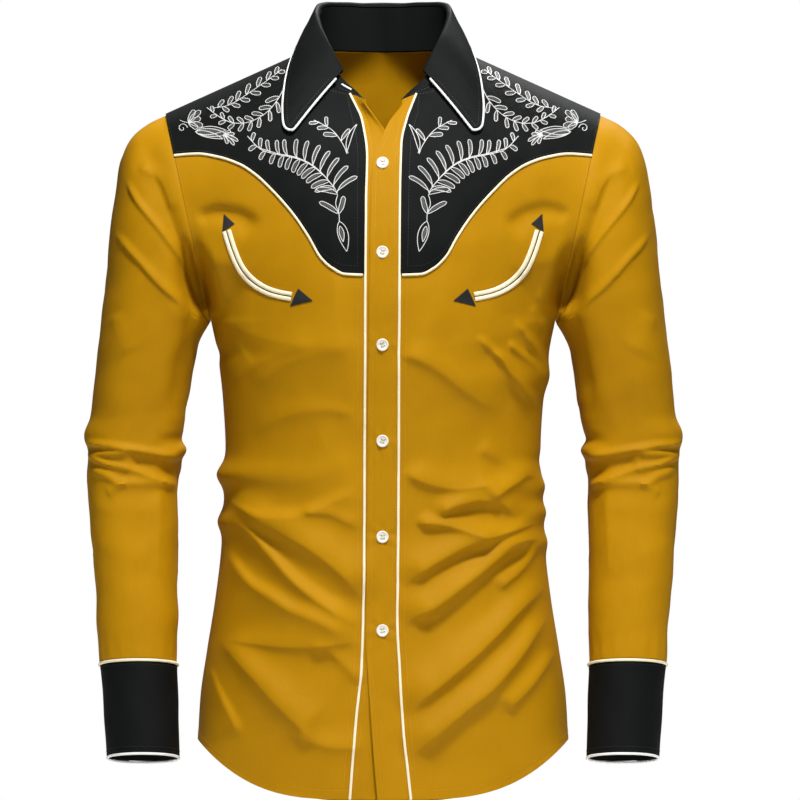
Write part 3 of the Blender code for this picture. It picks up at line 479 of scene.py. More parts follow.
def armhole_x(z):
    """Distance from the middle of the plane in which a sleeve meets the body."""
    return ARMPIT_X + (TIP_X - ARMPIT_X) * (z - ARMPIT_Z) / (TIP_Z - ARMPIT_Z)


def edge(face, z, side=0):
    """Where the front or back face ends at height z, and how it turns in to that edge, as (y, power).

    The first pair holds at the edge itself. The second has no kink at the armpit and holds away from it.
    """
    up = np.clip((z - ARMPIT_Z) / (TIP_Z - ARMPIT_Z), 0, 1)
    x = np.where(z < ARMPIT_Z, curve(HALF_WIDTH, z), ARMPIT_X + (TIP_X - ARMPIT_X) * up)
    for bulge_side, height, reach, width in SIDE_BULGES:
        x = x + reach * bell(z - height, width) * (side == bulge_side)
    swells = np.where(up < 0.5, 2 * np.sqrt(up * (1 - up)), 1), smooth_step((z - ARMPIT_Z + 60) / 150)
    return x, [
        (SIDE_Y + face * (SEAM_GAP / 2 + ARMHOLE_HALF_DEPTH[face] * swell),
         ROUND_POWER + (ARMHOLE_POWER - ROUND_POWER) * swell) for swell in swells
    ]


def armpit_tuck(face, z, away, width):
    """How far the cloth sinks in at the armpit, at a distance from the armhole seam."""
    high = bell(z - TUCK_Z, TUCK_REACH) * smooth_step((z - ARMPIT_Z) / 24)
    return ARMPIT_TUCK[face] * high * bell(away, width)


def body_y(face, x, z, lap=0.0, folded=True, tucked=True):
    """Place of the front or back face at x, z. A lapping front stands off by lap near the middle."""
    edge_x, turns_in = edge(face, z, np.sign(x))
    middle = curve(MIDDLE_DEPTH[face], z)
    out = np.abs(x)
    share = np.clip(out / edge_x, 0, 1)
    rounding = 1 - share**SQUARENESS
    at_edge, inside = (edge_y + (middle - edge_y) * rounding**power for edge_y, power in turns_in)
    y = inside + (at_edge - inside) * share**7
    shoulder_y = SIDE_Y + face * SEAM_GAP / 2
    below = TIP_Z + (TIP_X - out) * SHOULDER_SLOPE - z
    turn = np.clip(below / curve(SHOULDER_ROUND, out), 0, 1)
    y = shoulder_y + (y - shoulder_y) * np.sqrt(turn * (2 - turn))
    if tucked:
        y = y - face * armpit_tuck(face, z, edge_x - out, BODY_TUCK_WIDTH)
    flare = 1 + 2 * smooth_step((LAP_FLARE_Z - z) / 120)
    lift = lap * flare * smooth_step((LAP_START - out) / (LAP_START - LAP_FULL))
    if folded:
        lift = lift + (relief(FOLDS[face], x, z) + ripple(x, z, 5 + face)) * (1 - share**14) * np.sqrt(turn)
    return y + face * lift


def on_front(side, out, z, lift=0.0):
    """Points on a front, raised off the cloth by lift, and the normals there."""
    x, z = np.broadcast_arrays(side * np.asarray(out, float), np.asarray(z, float))
    step = 1.5
    y, *around = (
        body_y(FRONT, x + move_x, z + move_z, LAP[side])
        for move_x, move_z in ((0, 0), (step, 0), (-step, 0), (0, step), (0, -step))
    )
    slope_x, slope_z = around[0] - around[1], around[2] - around[3]
    normal = unit(np.stack([slope_x, np.full(y.shape, -2 * step), slope_z], axis=-1))
    return np.stack([x, y, z], axis=-1) + normal * np.asarray(lift)[..., None], normal


def normals(grid, ring=False):
    """Unit normals at a grid's points. They point out where the columns turn right-handed round +Z."""
    if ring:
        across = np.roll(grid, -1, axis=1) - np.roll(grid, 1, axis=1)
    else:
        across = np.gradient(grid, axis=1)
    return unit(np.cross(across, np.gradient(grid, axis=0)))


def facing(grid, towards):
    """A grid's unit normals, turned so that they mostly point towards a direction."""
    found = normals(grid)
    return found * np.sign((found @ np.array(towards, float)).sum())


def outward(grid):
    """A grid's unit normals, turned away from the line up through the middle of the body."""
    found = normals(grid)
    middle = grid - (0.0, SIDE_Y, 0.0)
    return found * np.sign((found * middle * (1, 1, 0)).sum())


def mirrored(side, *grids):
    """Grids made for the wearer's left, brought to a side."""
    return [grid * (side, 1, 1) for grid in grids]


def smooth_rows(rows, count):
    """Rows of points along a smooth curve through these rows."""
    rows = np.asarray(rows, float)
    at = np.linspace(0, len(rows) - 1, count)
    low = np.minimum(at.astype(int), len(rows) - 2)
    part = (at - low).reshape(-1, *[1] * (rows.ndim - 1))
    before, after = rows[np.maximum(low - 1, 0)], rows[np.minimum(low + 2, len(rows) - 1)]
    start, end = rows[low], rows[low + 1]
    return 0.5 * (
        2 * start + (end - before) * part + (2 * before - 5 * start + 4 * end - after) * part**2
        + (3 * start - before - 3 * end + after) * part**3
    )


def resampled(path, pitch):
    """A line of points at even steps of about pitch along it."""
    path = np.asarray(path, float)
    far = distances(path)
    at = np.linspace(0, far[-1], max(2, int(round(far[-1] / pitch)) + 1))
    return np.stack([np.interp(at, far, values) for values in path.T], axis=1)


# Meshes. Faces have four corners, and each corner has its place on the cloth in metres.


def add_thing(name, data):
    thing = bpy.data.objects.new(name, data)
    bpy.context.scene.collection.objects.link(thing)
    return thing


def mesh_from(name, shape):
    mesh = bpy.data.meshes.new(name)
    shape.to_mesh(mesh)
    shape.free()
    return mesh


def dressed(piece, slot, *nodes):
    """Puts a piece in place of its CAD nodes."""
    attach(piece, "root")
    if nodes:
        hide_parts(*nodes)
    return piece


def add_piece(name, points, faces, uvs, material, *nodes):
    """A closed piece in metres, from points in millimetres, with its faces turned outwards."""
    mesh = bpy.data.meshes.new(name)
    mesh.vertices.add(len(points))
    mesh.vertices.foreach_set("co", (np.asarray(points) * MM).astype(np.float32).reshape(-1))
    mesh.loops.add(faces.size)
    mesh.loops.foreach_set("vertex_index", faces.astype(np.int32).reshape(-1))
    mesh.polygons.add(len(faces))
    mesh.polygons.foreach_set("loop_start", np.arange(0, faces.size, 4, dtype=np.int32))
    layer = mesh.uv_layers.new(name="cloth")
    layer.data.foreach_set("uv", uvs.astype(np.float32).reshape(-1))
    mesh.update(calc_edges=True)
    shape = bmesh.new()
    shape.from_mesh(mesh)
    bmesh.ops.recalc_face_normals(shape, faces=shape.faces)
    shape.to_mesh(mesh)
    shape.free()
    mesh.materials.append(material)
    mesh.shade_smooth()
    mesh.set_sharp_from_angle(angle=SHARP_ANGLE)
    return dressed(add_thing(name, mesh), SLOTS[material], *nodes)


class Joined:
    """Small meshes that become one piece."""

    def __init__(self):
        self.points, self.faces, self.uvs, self.count = [], [], [], 0

    def add(self, points, faces, uvs):
        self.points.append(points)
        self.faces.append(faces + self.count)
        self.uvs.append(uvs)
        self.count += len(points)

    def build(self, name, material, *nodes):
        parts = (np.concatenate(part) for part in (self.points, self.faces, self.uvs))
        return add_piece(name, *parts, material, *nodes)


def cells(index):
    """The four corners of each cell of a grid of numbers."""
    low, high = index[:-1], index[1:]
    return np.stack([low[:, :-1], low[:, 1:], high[:, 1:], high[:, :-1]], axis=-1).reshape(-1, 4)


def places_on(grid):
    """Places across and along a grid's own cloth, in metres."""
    across = distances(grid, axis=1)
    middle = grid.shape[1] // 2
    along = distances(grid[:, middle])[:, None] * np.ones((1, grid.shape[1]))
    return np.stack([across - across[:, middle:middle + 1], along], axis=-1) * MM


def add_wall(name, outer, inner, material, *nodes, ring=False):
    """The closed wall between two grids."""
    count = outer[..., 0].size
    index = np.arange(count).reshape(outer.shape[:2])
    spread = outer
    if ring:
        index = np.concatenate([index, index[:, :1]], axis=1)
        spread = np.concatenate([outer, outer[:, :1]], axis=1)
    place = np.arange(spread[..., 0].size).reshape(spread.shape[:2])
    flat = places_on(spread).reshape(-1, 2)
    faces = [cells(index), cells(index)[:, ::-1] + count]
    uvs = [flat[cells(place)], flat[cells(place)[:, ::-1]]]
    borders = [np.s_[0], np.s_[-1]] + ([] if ring else [np.s_[:, 0], np.s_[:, -1]])
    for border in borders:
        line, spot = index[border], place[border]
        faces.append(np.stack([line[:-1], line[1:], line[1:] + count, line[:-1] + count], axis=1))
        uvs.append(flat[np.stack([spot[:-1], spot[1:], spot[1:], spot[:-1]], axis=1)])
    points = np.concatenate([outer.reshape(-1, 3), inner.reshape(-1, 3)])
    return add_piece(name, points, np.concatenate(faces), np.concatenate(uvs), material, *nodes)


def tube(path, out, half_width, half_height, sides=8, ring=False):
    """Points, faces and cloth places of a cord along a path. Its height is along out."""
    if ring:
        run = unit(np.roll(path, -1, axis=0) - np.roll(path, 1, axis=0))
    else:
        run = unit(np.gradient(path, axis=0))
    across = unit(np.cross(run, out))
    out = np.cross(across, run)
    turns = np.linspace(0, 2 * np.pi, sides, endpoint=False) + np.pi / sides
    wide, high = (
        np.broadcast_to(np.asarray(half, float), len(path))[:, None, None]
        for half in (half_width, half_height)
    )
    grid = path[:, None] + across[:, None] * wide * np.cos(turns)[None, :, None]
    grid = grid + out[:, None] * high * np.sin(turns)[None, :, None]
    index = np.arange(grid[..., 0].size).reshape(grid.shape[:2])
    index = np.concatenate([index, index[:, :1]], axis=1)
    far = distances(path)
    if ring:
        index = np.concatenate([index, index[:1]])
        far = np.append(far, far[-1] + np.linalg.norm(path[0] - path[-1]))
    round_it = np.linspace(0, 2 * np.pi * np.mean(wide), sides + 1)
    flat = np.stack(np.meshgrid(round_it, far), axis=-1).reshape(-1, 2) * MM
    place = np.arange(len(flat)).reshape(len(far), sides + 1)
    faces, uvs = [cells(index)], [flat[cells(place)]]
    if not ring:
        steps = np.arange(sides // 2 - 1)
        corners = np.stack([steps, steps + 1, sides - 2 - steps, sides - 1 - steps], axis=1)
        for end in (0, -1):
            faces.append(index[end][corners])
            uvs.append(flat[place[end][corners]])
    return grid.reshape(-1, 3), np.concatenate(faces), np.concatenate(uvs)


def add_tube(name, path, out, half_width, half_height, material, *nodes, sides=10, ring=False):
    return add_piece(name, *tube(path, out, half_width, half_height, sides, ring), material, *nodes)


def stitch(group, path, out):
    """A row of separate stitches along a path on a surface. Each takes three steps of the path."""
    line = resampled(np.concatenate([path, out], axis=1), STITCH_PITCH / 3)
    path, out = line[:, :3], unit(line[:, 3:])
    thick = STITCH_RADIUS * np.array([0.4, 1.0, 0.4])
    for start in range(1, len(path) - 2, 3):
        part = slice(start, start + 3)
        group.add(*tube(path[part] + out[part] * (0.55 * thick[:, None]), out[part], thick, 0.8 * thick, 4))


def sew(group, surface, *lines):
    """Stitches along lines of a surface, given as its points and normals. A line is an index into both."""
    for line in lines:
        stitch(group, *(part[line] for part in surface))


# Materials


def node(tree, kind, links=(), **settings):
    """Adds a shader node, fed by links of (input, output socket or value), and gives its outputs."""
    made = tree.nodes.new(kind)
    for key, value in settings.items():
        setattr(made, key, value)
    for socket, source in links:
        if isinstance(source, bpy.types.NodeSocket):
            tree.links.new(source, made.inputs[socket])
        else:
            made.inputs[socket].default_value = source
    return made.outputs


def noise(tree, vector, scale, detail=3.0, roughness=0.55):
    links = (("Vector", vector), ("Scale", scale), ("Detail", detail), ("Roughness", roughness))
    return node(tree, "ShaderNodeTexNoise", links)["Fac"]


def ramp(tree, value, low, high, start=0.0, end=1.0):
    """A value moved from start..end to low..high."""
    links = (("Value", value), ("From Min", start), ("From Max", end), ("To Min", low), ("To Max", high))
    return node(tree, "ShaderNodeMapRange", links)["Result"]


def bands(tree, vector, pitch, direction, *links):
    """Waves across a direction, one to each pitch in metres."""
    links = (("Vector", vector), ("Scale", WAVE_SCALE / pitch), *links)
    return node(tree, "ShaderNodeTexWave", links, wave_type="BANDS", bands_direction=direction)["Fac"]


def bump(tree, strength, distance, height, *links):
    links = (("Strength", strength), ("Distance", distance), ("Height", height), *links)
    return node(tree, "ShaderNodeBump", links)["Normal"]


def weighted_sum(tree, value, weight, other):
    """value * weight + other."""
    return node(tree, "ShaderNodeMath", ((0, value), (1, weight), (2, other)), operation="MULTIPLY_ADD")[0]


def between_colours(tree, factor, colour, deep):
    links = (("Factor", factor), (6, (*colour, 1)), (7, (*deep, 1)))
    return node(tree, "ShaderNodeMix", links, data_type="RGBA")[2]


class Look:
    """A new material with its shader, and the values that are the same all over it."""

    def __init__(self, name, colour, roughness, specular, sheen=0.0, sheen_colour=(1, 1, 1)):
        self.material = bpy.data.materials.new(name)
        self.material.use_nodes = True
        self.tree = self.material.node_tree
        self.inputs = self.tree.nodes["Principled BSDF"].inputs
        for socket, value in (
            ("Base Color", (*colour, 1)), ("Roughness", roughness), ("Specular IOR Level", specular),
            ("Sheen Weight", sheen), ("Sheen Roughness", 0.45), ("Sheen Tint", (*sheen_colour, 1)),
        ):
            self.inputs[socket].default_value = value

    def feed(self, colour, normal=None, roughness=None):
        for socket, source in (("Base Color", colour), ("Roughness", roughness), ("Normal", normal)):
            if source is not None:
                self.tree.links.new(source, self.inputs[socket])
        return self.material


def cloth_material(name, colour, deep, roughness, specular, sheen=0.0, sheen_colour=(1, 1, 1)):
    """Woven cloth: uneven threads, faint slubs, a soft unevenness of colour, and small creases."""
    look = Look(name, colour, roughness, specular, sheen, sheen_colour)
    tree = look.tree
    place = node(tree, "ShaderNodeTexCoord")
    flat, solid = place["UV"], place["Object"]
    warp_and_weft = [(number, bands(tree, flat, THREAD_PITCH, way)) for number, way in enumerate("XY")]
    weave = node(tree, "ShaderNodeMath", warp_and_weft, operation="MAXIMUM")[0]
    stretched = node(tree, "ShaderNodeMapping", (("Vector", flat), ("Scale", (900, 60, 1))))["Vector"]
    slub = noise(tree, stretched, 1.0, 2.0)
    tone = weighted_sum(tree, slub, 0.35, noise(tree, solid, 9.0))
    mixed = between_colours(tree, ramp(tree, tone, 0.0, 1.0, 0.45, 0.95), colour, deep)
    uneven = ramp(tree, slub, roughness - 0.05, roughness + 0.07)
    threads = bump(tree, 0.3, 0.00008, weave)
    creased = bump(tree, 0.35, 0.0007, noise(tree, solid, 45.0, 2.0, 0.4), ("Normal", threads))
    return look.feed(mixed, creased, uneven)


def thread_material(name, colour, deep, roughness, twist):
    """Twisted thread or covered cord: slanting strands along its length, with painted shade that darkens the
    grooves between them, and a random unevenness of tone.
    """
    look = Look(name, colour, roughness, 0.3, 0.2, colour)
    tree = look.tree
    place = node(tree, "ShaderNodeTexCoord")
    turned = node(tree, "ShaderNodeMapping", (("Vector", place["UV"]), ("Rotation", (0, 0, 0.6))))["Vector"]
    strands = bands(tree, turned, twist, "Y", ("Distortion", 0.6))
    tone = weighted_sum(tree, strands, 0.5, noise(tree, place["Object"], 60.0, 2.0))
    # Painted shade: the colour goes towards deep where the strands' bump is lowest, in the grooves between
    # them. The noise adds a random unevenness of tone.
    mixed = between_colours(tree, ramp(tree, tone, 1.0, 0.0, 0.4, 1.0), colour, deep)
    return look.feed(mixed, bump(tree, 0.4, 0.00015, strands))


def button_material():
    look = Look("button", (0.80, 0.76, 0.67), 0.22, 0.5)
    cloudy = noise(look.tree, node(look.tree, "ShaderNodeTexCoord")["Object"], 220.0)
    mixed = between_colours(look.tree, cloudy, (0.86, 0.83, 0.75), (0.70, 0.65, 0.54))
    return look.feed(mixed, roughness=ramp(look.tree, cloudy, 0.18, 0.34))


MUSTARD = cloth_material(
    "mustard_cloth", (0.432, 0.209, 0.0026), (0.370, 0.176, 0.0020), 0.55, 0.05, 0.02, (1.0, 0.62, 0.08))
BLACK = cloth_material("black_cloth", (0.0052, 0.0060, 0.0057), (0.0038, 0.0044, 0.0042), 0.62, 0.07)
CREAM = thread_material("cream_piping", (0.90, 0.82, 0.60), (0.80, 0.68, 0.42), 0.5, 0.0012)
WHITE = thread_material("white_piping", (0.86, 0.86, 0.84), (0.68, 0.68, 0.66), 0.5, 0.0012)
EMBROIDERY = thread_material("embroidery_thread", (0.68, 0.68, 0.66), (0.46, 0.46, 0.45), 0.42, 0.0007)
EMBROIDERY_FILL = thread_material(
    "embroidery_fill", (0.065, 0.065, 0.065), (0.038, 0.038, 0.038), 0.5, 0.0007)
MUSTARD_THREAD = thread_material("mustard_thread", (0.60, 0.27, 0.010), (0.42, 0.18, 0.006), 0.45, 0.0005)
BLACK_THREAD = thread_material("black_thread", (0.022, 0.023, 0.024), (0.012, 0.012, 0.012), 0.45, 0.0005)
SEW_THREAD = thread_material("button_thread", (0.62, 0.58, 0.50), (0.42, 0.38, 0.30), 0.5, 0.0004)
BUTTON = button_material()

SLOTS = {
    MUSTARD: "mustard_cloth", MUSTARD_THREAD: "mustard_cloth", BLACK: "black_cloth",
    BLACK_THREAD: "black_cloth", CREAM: "cream_piping", WHITE: "white_piping", EMBROIDERY: "white_piping",
    EMBROIDERY_FILL: "white_piping", BUTTON: "button", SEW_THREAD: "button",
}

mustard_stitches, black_stitches = Joined(), Joined()


# Body


def between(low, high, steps):
    """Rows that lead from one row of values to another."""
    low, high = np.broadcast_arrays(np.asarray(low, float), np.asarray(high, float))
    return low + (high - low) * np.asarray(steps)[:, None]


def panel_places(face, place, columns, lowest, neck_x, neck_z):
    """Places of a panel from the hem to the neck, as x and z, and the first row of its yoke.

    place(z) gives the x of each column at heights z.
    """
    hem = lowest + (SIDE_HEM - lowest) * np.abs(columns) ** 3
    # The columns' x and the yoke's height there depend on each other, so this repeats until they agree.
    yoke = np.full(len(columns), YOKE_MEAN_Z)
    for _ in range(12):
        yoke = curve(YOKE_LINE[face], np.abs(place(yoke)))
    z = np.concatenate([
        between(hem, ARMPIT_Z, BODY_STEPS[face]), between(ARMPIT_Z, yoke, CHEST_STEPS)[1:],
        between(yoke, TIP_Z, YOKE_STEPS)[1:],
    ])
    x, z = (
        np.concatenate([rows, between(rows[-1], neck, SHOULDER_STEPS)[1:]])
        for rows, neck in ((place(z), neck_x), (z, neck_z))
    )
    return x, z, len(BODY_STEPS[face]) + len(CHEST_STEPS) - 2


def front_grid(side):
    """Outer face of a front, from the hem up and from the band seam out; and its yoke row."""
    columns = np.sin(np.linspace(0, np.pi / 2, FRONT_COLUMNS + 1))

    def place(z):
        seam = curve(BAND_SEAM[side], z)
        return seam + (edge(FRONT, z, side)[0] - seam) * columns

    neck = curves(NECK_LINE, columns)
    out, z, yoke_start = panel_places(FRONT, place, columns, FRONT_HEM, neck[:, 0], neck[:, 1])
    return np.stack([side * out, body_y(FRONT, side * out, z, LAP[side]), z], axis=-1), yoke_start


def back_grid():
    """Outer face of the back, from the hem up and from right to left; and its yoke row."""
    columns = np.sin(np.linspace(-np.pi / 2, np.pi / 2, BACK_COLUMNS + 1))

    def place(z):
        right, left = (edge(BACK, z, side)[0] for side in (RIGHT, LEFT))
        return np.where(columns < 0, right, left) * columns

    neck_z = BACK_NECK_Z + (NECK_Z - BACK_NECK_Z) * columns**2
    x, z, yoke_start = panel_places(BACK, place, columns, BACK_HEM, NECK_X * columns, neck_z)
    return np.stack([x, body_y(BACK, x, z), z], axis=-1), yoke_start


def rows_in_sight(grid, yoke_start):
    """The rows of a panel: all those below the yoke, and a few of those under it."""
    tip = yoke_start + len(YOKE_STEPS) - 1
    under = np.unique(np.concatenate([np.arange(yoke_start + 2, len(grid) - 1, 3), [tip, len(grid) - 1]]))
    return np.concatenate([np.arange(yoke_start + 1), under])


def seat_edges(face, layer, columns, first_row=0):
    """Brings a layer's side columns into the planes of the seams that they meet."""
    row = np.arange(len(layer)) + first_row
    armpit = len(BODY_STEPS[face]) - 1
    tip = armpit + len(CHEST_STEPS) + len(YOKE_STEPS) - 2
    for column in columns:
        x, y, z = layer[:, column].T
        on_plane = (row > armpit) & (row <= tip)
        layer[:, column, 0] = np.where(on_plane, np.sign(x) * armhole_x(z), x)
        layer[:, column, 1] = np.where(on_plane & (row < tip), y, SIDE_Y + face * SEAM_GAP / 2)
    return layer


def shifted(grid, rows=0.0, columns=0.0, reach=14.0):
    """A grid with its first row and first column moved in by these distances, and those near them by less."""
    grid = grid.copy()
    for distance, axis in ((rows, 0), (columns, 1)):
        turned = np.moveaxis(grid, axis, 0)
        far = distances(turned)
        for line, along in enumerate(far.T):
            at = along + distance * np.clip(1 - along / reach, 0, 1)
            turned[:, line] = np.stack([np.interp(at, along, values) for values in turned[:, line].T], axis=1)
    return grid


def yoke_layers(face, grid, yoke_start, edges, *clear):
    """A yoke's outer and inner face, laid over a panel and clear of its piping, and its normals."""
    region = shifted(grid[yoke_start:], *clear)
    out = facing(region, (0, face, 0))
    lifts = YOKE_LIFT + YOKE_CLOTH, YOKE_SEAT
    return [seat_edges(face, region + out * lift, edges, yoke_start) for lift in lifts], out


def add_piping(name, node_name, path, out, lift):
    """Piping that stands off a surface by lift, along a path on it."""
    add_tube(name, path + out * lift, out, PIPING_HALF_WIDTH, PIPING_HALF_HEIGHT, CREAM, node_name)


def build_front(side):
    name = SIDE_NAMES[side]
    grid, yoke_start = front_grid(side)
    out = facing(grid, (0, FRONT, 0))
    hem_fold = HEM_FOLD * smooth_step(1 - np.arange(len(grid)) / HEM_FOLD_ROWS)[:, None, None]
    grid = grid + out * hem_fold
    inner = seat_edges(FRONT, grid - out * (CLOTH + hem_fold), [-1])
    rows = rows_in_sight(grid, yoke_start)
    panel = add_wall(f"cloth_front_{name}", grid[rows], inner[rows], MUSTARD, f"front_{name}")

    layers, yoke_out = yoke_layers(FRONT, grid, yoke_start, [-1], YOKE_CLEAR, YOKE_CLEAR)
    yoke = add_wall(f"cloth_yoke_front_{name}", *layers, BLACK, f"yoke_front_{name}")

    add_piping(f"cord_front_{name}", f"piping_front_{name}", grid[:, 0], out[:, 0], PIPING_LIFT)
    row, row_out = grid[yoke_start, 1:], out[yoke_start, 1:]
    add_piping(f"cord_yoke_{name}", f"piping_yoke_{name}", row, row_out, PIPING_LIFT + 0.2)

    armhole = slice(len(BODY_STEPS[FRONT]) + 4, yoke_start - 1)
    sew(mustard_stitches, (grid, out), np.s_[4:yoke_start - 2, 3], np.s_[3], np.s_[armhole, -9])
    last = len(YOKE_STEPS) - 4
    lines = np.s_[2, 2:-1], np.s_[2:-3, 3], np.s_[2:last, -9], np.s_[-3, 2:-2]
    sew(black_stitches, (layers[0], yoke_out), *lines)
    return grid


def build_band(side, grid):
    """The band along a front's edge, topstitched along both sides."""
    name = SIDE_NAMES[side]
    z = grid[::2, 0, 2]
    seam = side * grid[::2, 0, 0] - SEAM_GAP
    free = curve(BAND_EDGE[side], z)
    shares = np.linspace(0, 1, BAND_COLUMNS + 1)
    x = side * (seam[:, None] + (free - seam)[:, None] * shares)
    drop = smooth_step((z - BAND_DROP_START) / (BAND_DROP_END - BAND_DROP_START))[:, None]
    z = z[:, None] - BAND_TOP_DROP * shares * drop
    width = np.abs(free - seam)[:, None]
    near = np.minimum(width * shares, width - width * shares)
    y = body_y(FRONT, x, z, LAP[side]) - BAND_TOP_CURL[side] * shares**1.5 * drop
    y += 0.45 * bell(near - BAND_STITCH_INSET, 1.3) - 0.35 * smooth_step(near / 2.5)
    if side == LEFT:
        for number in FRONT_BUTTONS:
            place = centre_mm(f"button_{number}")
            away_x, away_z = x - place[0], z - place[2]
            around = np.hypot(away_x / 1.3, away_z)
            pucker = np.cos(np.arctan2(away_z, away_x) * 5 + number)
            y += 0.7 * pucker * bell(around - 9, 4) - 0.4 * bell(around, 7)
    outer = np.stack([x, y, z], axis=-1)
    out = facing(outer, (0, FRONT, 0))
    band = add_wall(f"cloth_band_{name}", outer, outer - out * (CLOTH + 0.4), MUSTARD, f"placket_{name}")
    rows = np.arange(len(outer))
    for from_seam in (BAND_STITCH_INSET, width[:, 0] - BAND_STITCH_INSET):
        column = from_seam / width[:, 0] * BAND_COLUMNS
        low = np.clip(column.astype(int), 0, BAND_COLUMNS - 1)
        part = (column - low)[:, None]
        line = outer[rows, low] * (1 - part) + outer[rows, low + 1] * part
        stitch(mustard_stitches, line[3:-3], out[rows, low][3:-3])


def build_back():
    grid, yoke_start = back_grid()
    out = facing(grid, (0, BACK, 0))
    inner = seat_edges(BACK, grid - out * CLOTH, [0, -1])
    rows = rows_in_sight(grid, yoke_start)
    panel = add_wall("cloth_back", grid[rows], inner[rows], MUSTARD, "back")

    layers, yoke_out = yoke_layers(BACK, grid, yoke_start, [0, -1], YOKE_CLEAR)
    yoke = add_wall("cloth_yoke_back", *layers, BLACK, "yoke_back")
    add_piping("cord_yoke_back", "piping_yoke_back", grid[yoke_start, 1:-1], out[yoke_start, 1:-1], 1.2)

    armhole, last = slice(len(BODY_STEPS[BACK]) + 4, yoke_start - 1), len(YOKE_STEPS) - 4
    sew(mustard_stitches, (grid, out), np.s_[3], np.s_[armhole, 8], np.s_[armhole, -9])
    lines = np.s_[2, 2:-2], np.s_[-3, 2:-2], np.s_[2:last, 8], np.s_[2:last, -9]
    sew(black_stitches, (layers[0], yoke_out), *lines)


# Sleeves and cuffs


def section_grid(sections, turns, squareness=ARM_SQUARENESS):
    """Rings round an arm, one for each section, at these turns. The first quarter turn goes to the front."""
    outer_x, outer_z, inner_x, inner_z, depth, middle_y, tilt = (column[:, None] for column in sections.T)
    cosine = signed_power(np.cos(turns), 2 / squareness)
    sine = -signed_power(np.sin(turns), 2 / squareness)
    x = (outer_x + inner_x) / 2 + (outer_x - inner_x) / 2 * cosine
    z = (outer_z + inner_z) / 2 + (outer_z - inner_z) / 2 * cosine - tilt * depth * sine
    return np.stack([x, middle_y + depth * sine, z], axis=-1)


def even_sections(sections, count):
    return along_rows(sections, np.linspace(0, len(sections) - 1, count))


def even_turns(count):
    """Turns that put points at about even steps round a section, closer together in front."""
    fine = np.linspace(0, 2 * np.pi, 4001)
    x, y = (signed_power(wave(fine), 2 / ARM_SQUARENESS) for wave in (np.cos, np.sin))
    closer = 1 + 0.8 * smooth_step(0.5 + np.sin(fine[:-1]) * 2)
    far = np.concatenate([[0], np.cumsum(np.hypot(np.diff(x), np.diff(y)) * closer)])
    return np.interp(np.linspace(0, far[-1], count, endpoint=False), far, fine)


def elbow_rings(grid):
    """Short creases inside the bend of the elbow, which run round the arm and fade away from it."""
    x, z = grid[..., 0], grid[..., 2]
    wave = np.sin((z + 0.25 * (x - 200)) / 4.3) + 0.5 * np.sin(z / 2.9 + 1.3)
    return 1.5 * wave * smooth_step((232 - x) / 26) * bell(z - ELBOW_Z, 26)


def build_sleeve(side):
    name = SIDE_NAMES[side]
    turns = even_turns(SLEEVE_TURNS)
    at = np.concatenate([
        np.linspace(0, CAP_SECTIONS, CAP_RINGS),
        np.linspace(CAP_SECTIONS, len(SLEEVE_SECTIONS) - 1, SLEEVE_RINGS - CAP_RINGS + 1)[1:],
    ])

    def rise(start, over):
        """Grows from 0 at section start to 1 over some sections further down the arm."""
        return smooth_step((at - start) / over)[:, None]

    flatter = 0.4 * rise(0, 3) * smooth_step((18 - at) / 3)[:, None]
    grid = section_grid(along_rows(SLEEVE_SECTIONS, at), turns, ARM_SQUARENESS + flatter)
    x, y, z = np.moveaxis(grid, -1, 0)
    in_front = np.sin(turns) > 0
    armhole_y = np.where(
        in_front, *(body_y(face, x[0], z[0], folded=False, tucked=False) for face in (FRONT, BACK)))
    y += (armhole_y - y[0]) * (1 - rise(0, 1.8))
    away = x - armhole_x(z)
    y -= np.where(in_front, *(face * armpit_tuck(face, z, away, SLEEVE_TUCK_WIDTH) for face in (FRONT, BACK)))
    out = normals(grid, ring=True)
    turned = np.clip(np.abs(out[..., 1]) * 1.5, 0, 1) * rise(0, 1.5)
    lift = sum(
        np.where(out[..., 1] * face > 0, relief(SLEEVE_FOLDS[face], x, z) * turned, 0)
        for face in (FRONT, BACK)
    )
    waves = ripple(x + 400 * (y > SIDE_Y), z, RIPPLE_SEEDS[side])
    lift += 1.2 * waves * rise(0, 2.5) * (1 - rise(17.6, 1.2))
    lift += elbow_rings(grid) * rise(8, 2)
    gather = np.cos(np.arange(SLEEVE_TURNS) * 2 * np.pi / SLEEVE_TURNS * GATHERS)
    lift += 0.3 * gather * rise(17.8, 0.8) * (1 - rise(18.7, 0.4))
    grid = grid + out * lift[..., None]
    inner = grid - normals(grid, ring=True) * CLOTH
    armhole_normal = unit(np.array([TIP_Z - ARMPIT_Z, 0, ARMPIT_X - TIP_X]))
    inner[0] -= ((inner[0] - grid[0, 0]) @ armhole_normal)[:, None] * armhole_normal
    shift = armhole_normal * SEAM_GAP
    layers = mirrored(side, grid + shift, inner + shift)
    sleeve = add_wall(f"cloth_sleeve_{name}", *layers, MUSTARD, f"sleeve_{name}", ring=True)


def cuff_grid(columns, rows):
    """The cuff's rings, which lap: the last columns pass under the first."""
    at = np.linspace(0, CUFF_STEPS + CUFF_LAP_STEPS, columns)
    turns = (at + CUFF_LAP_START) * 2 * np.pi / CUFF_STEPS - np.pi
    grid = section_grid(even_sections(CUFF_SECTIONS, rows), turns)
    out = normals(grid)
    drop = CUFF_LAP_DROP * smooth_step((at - CUFF_STEPS + 2) / 2)
    return grid - out * drop[None, :, None], out


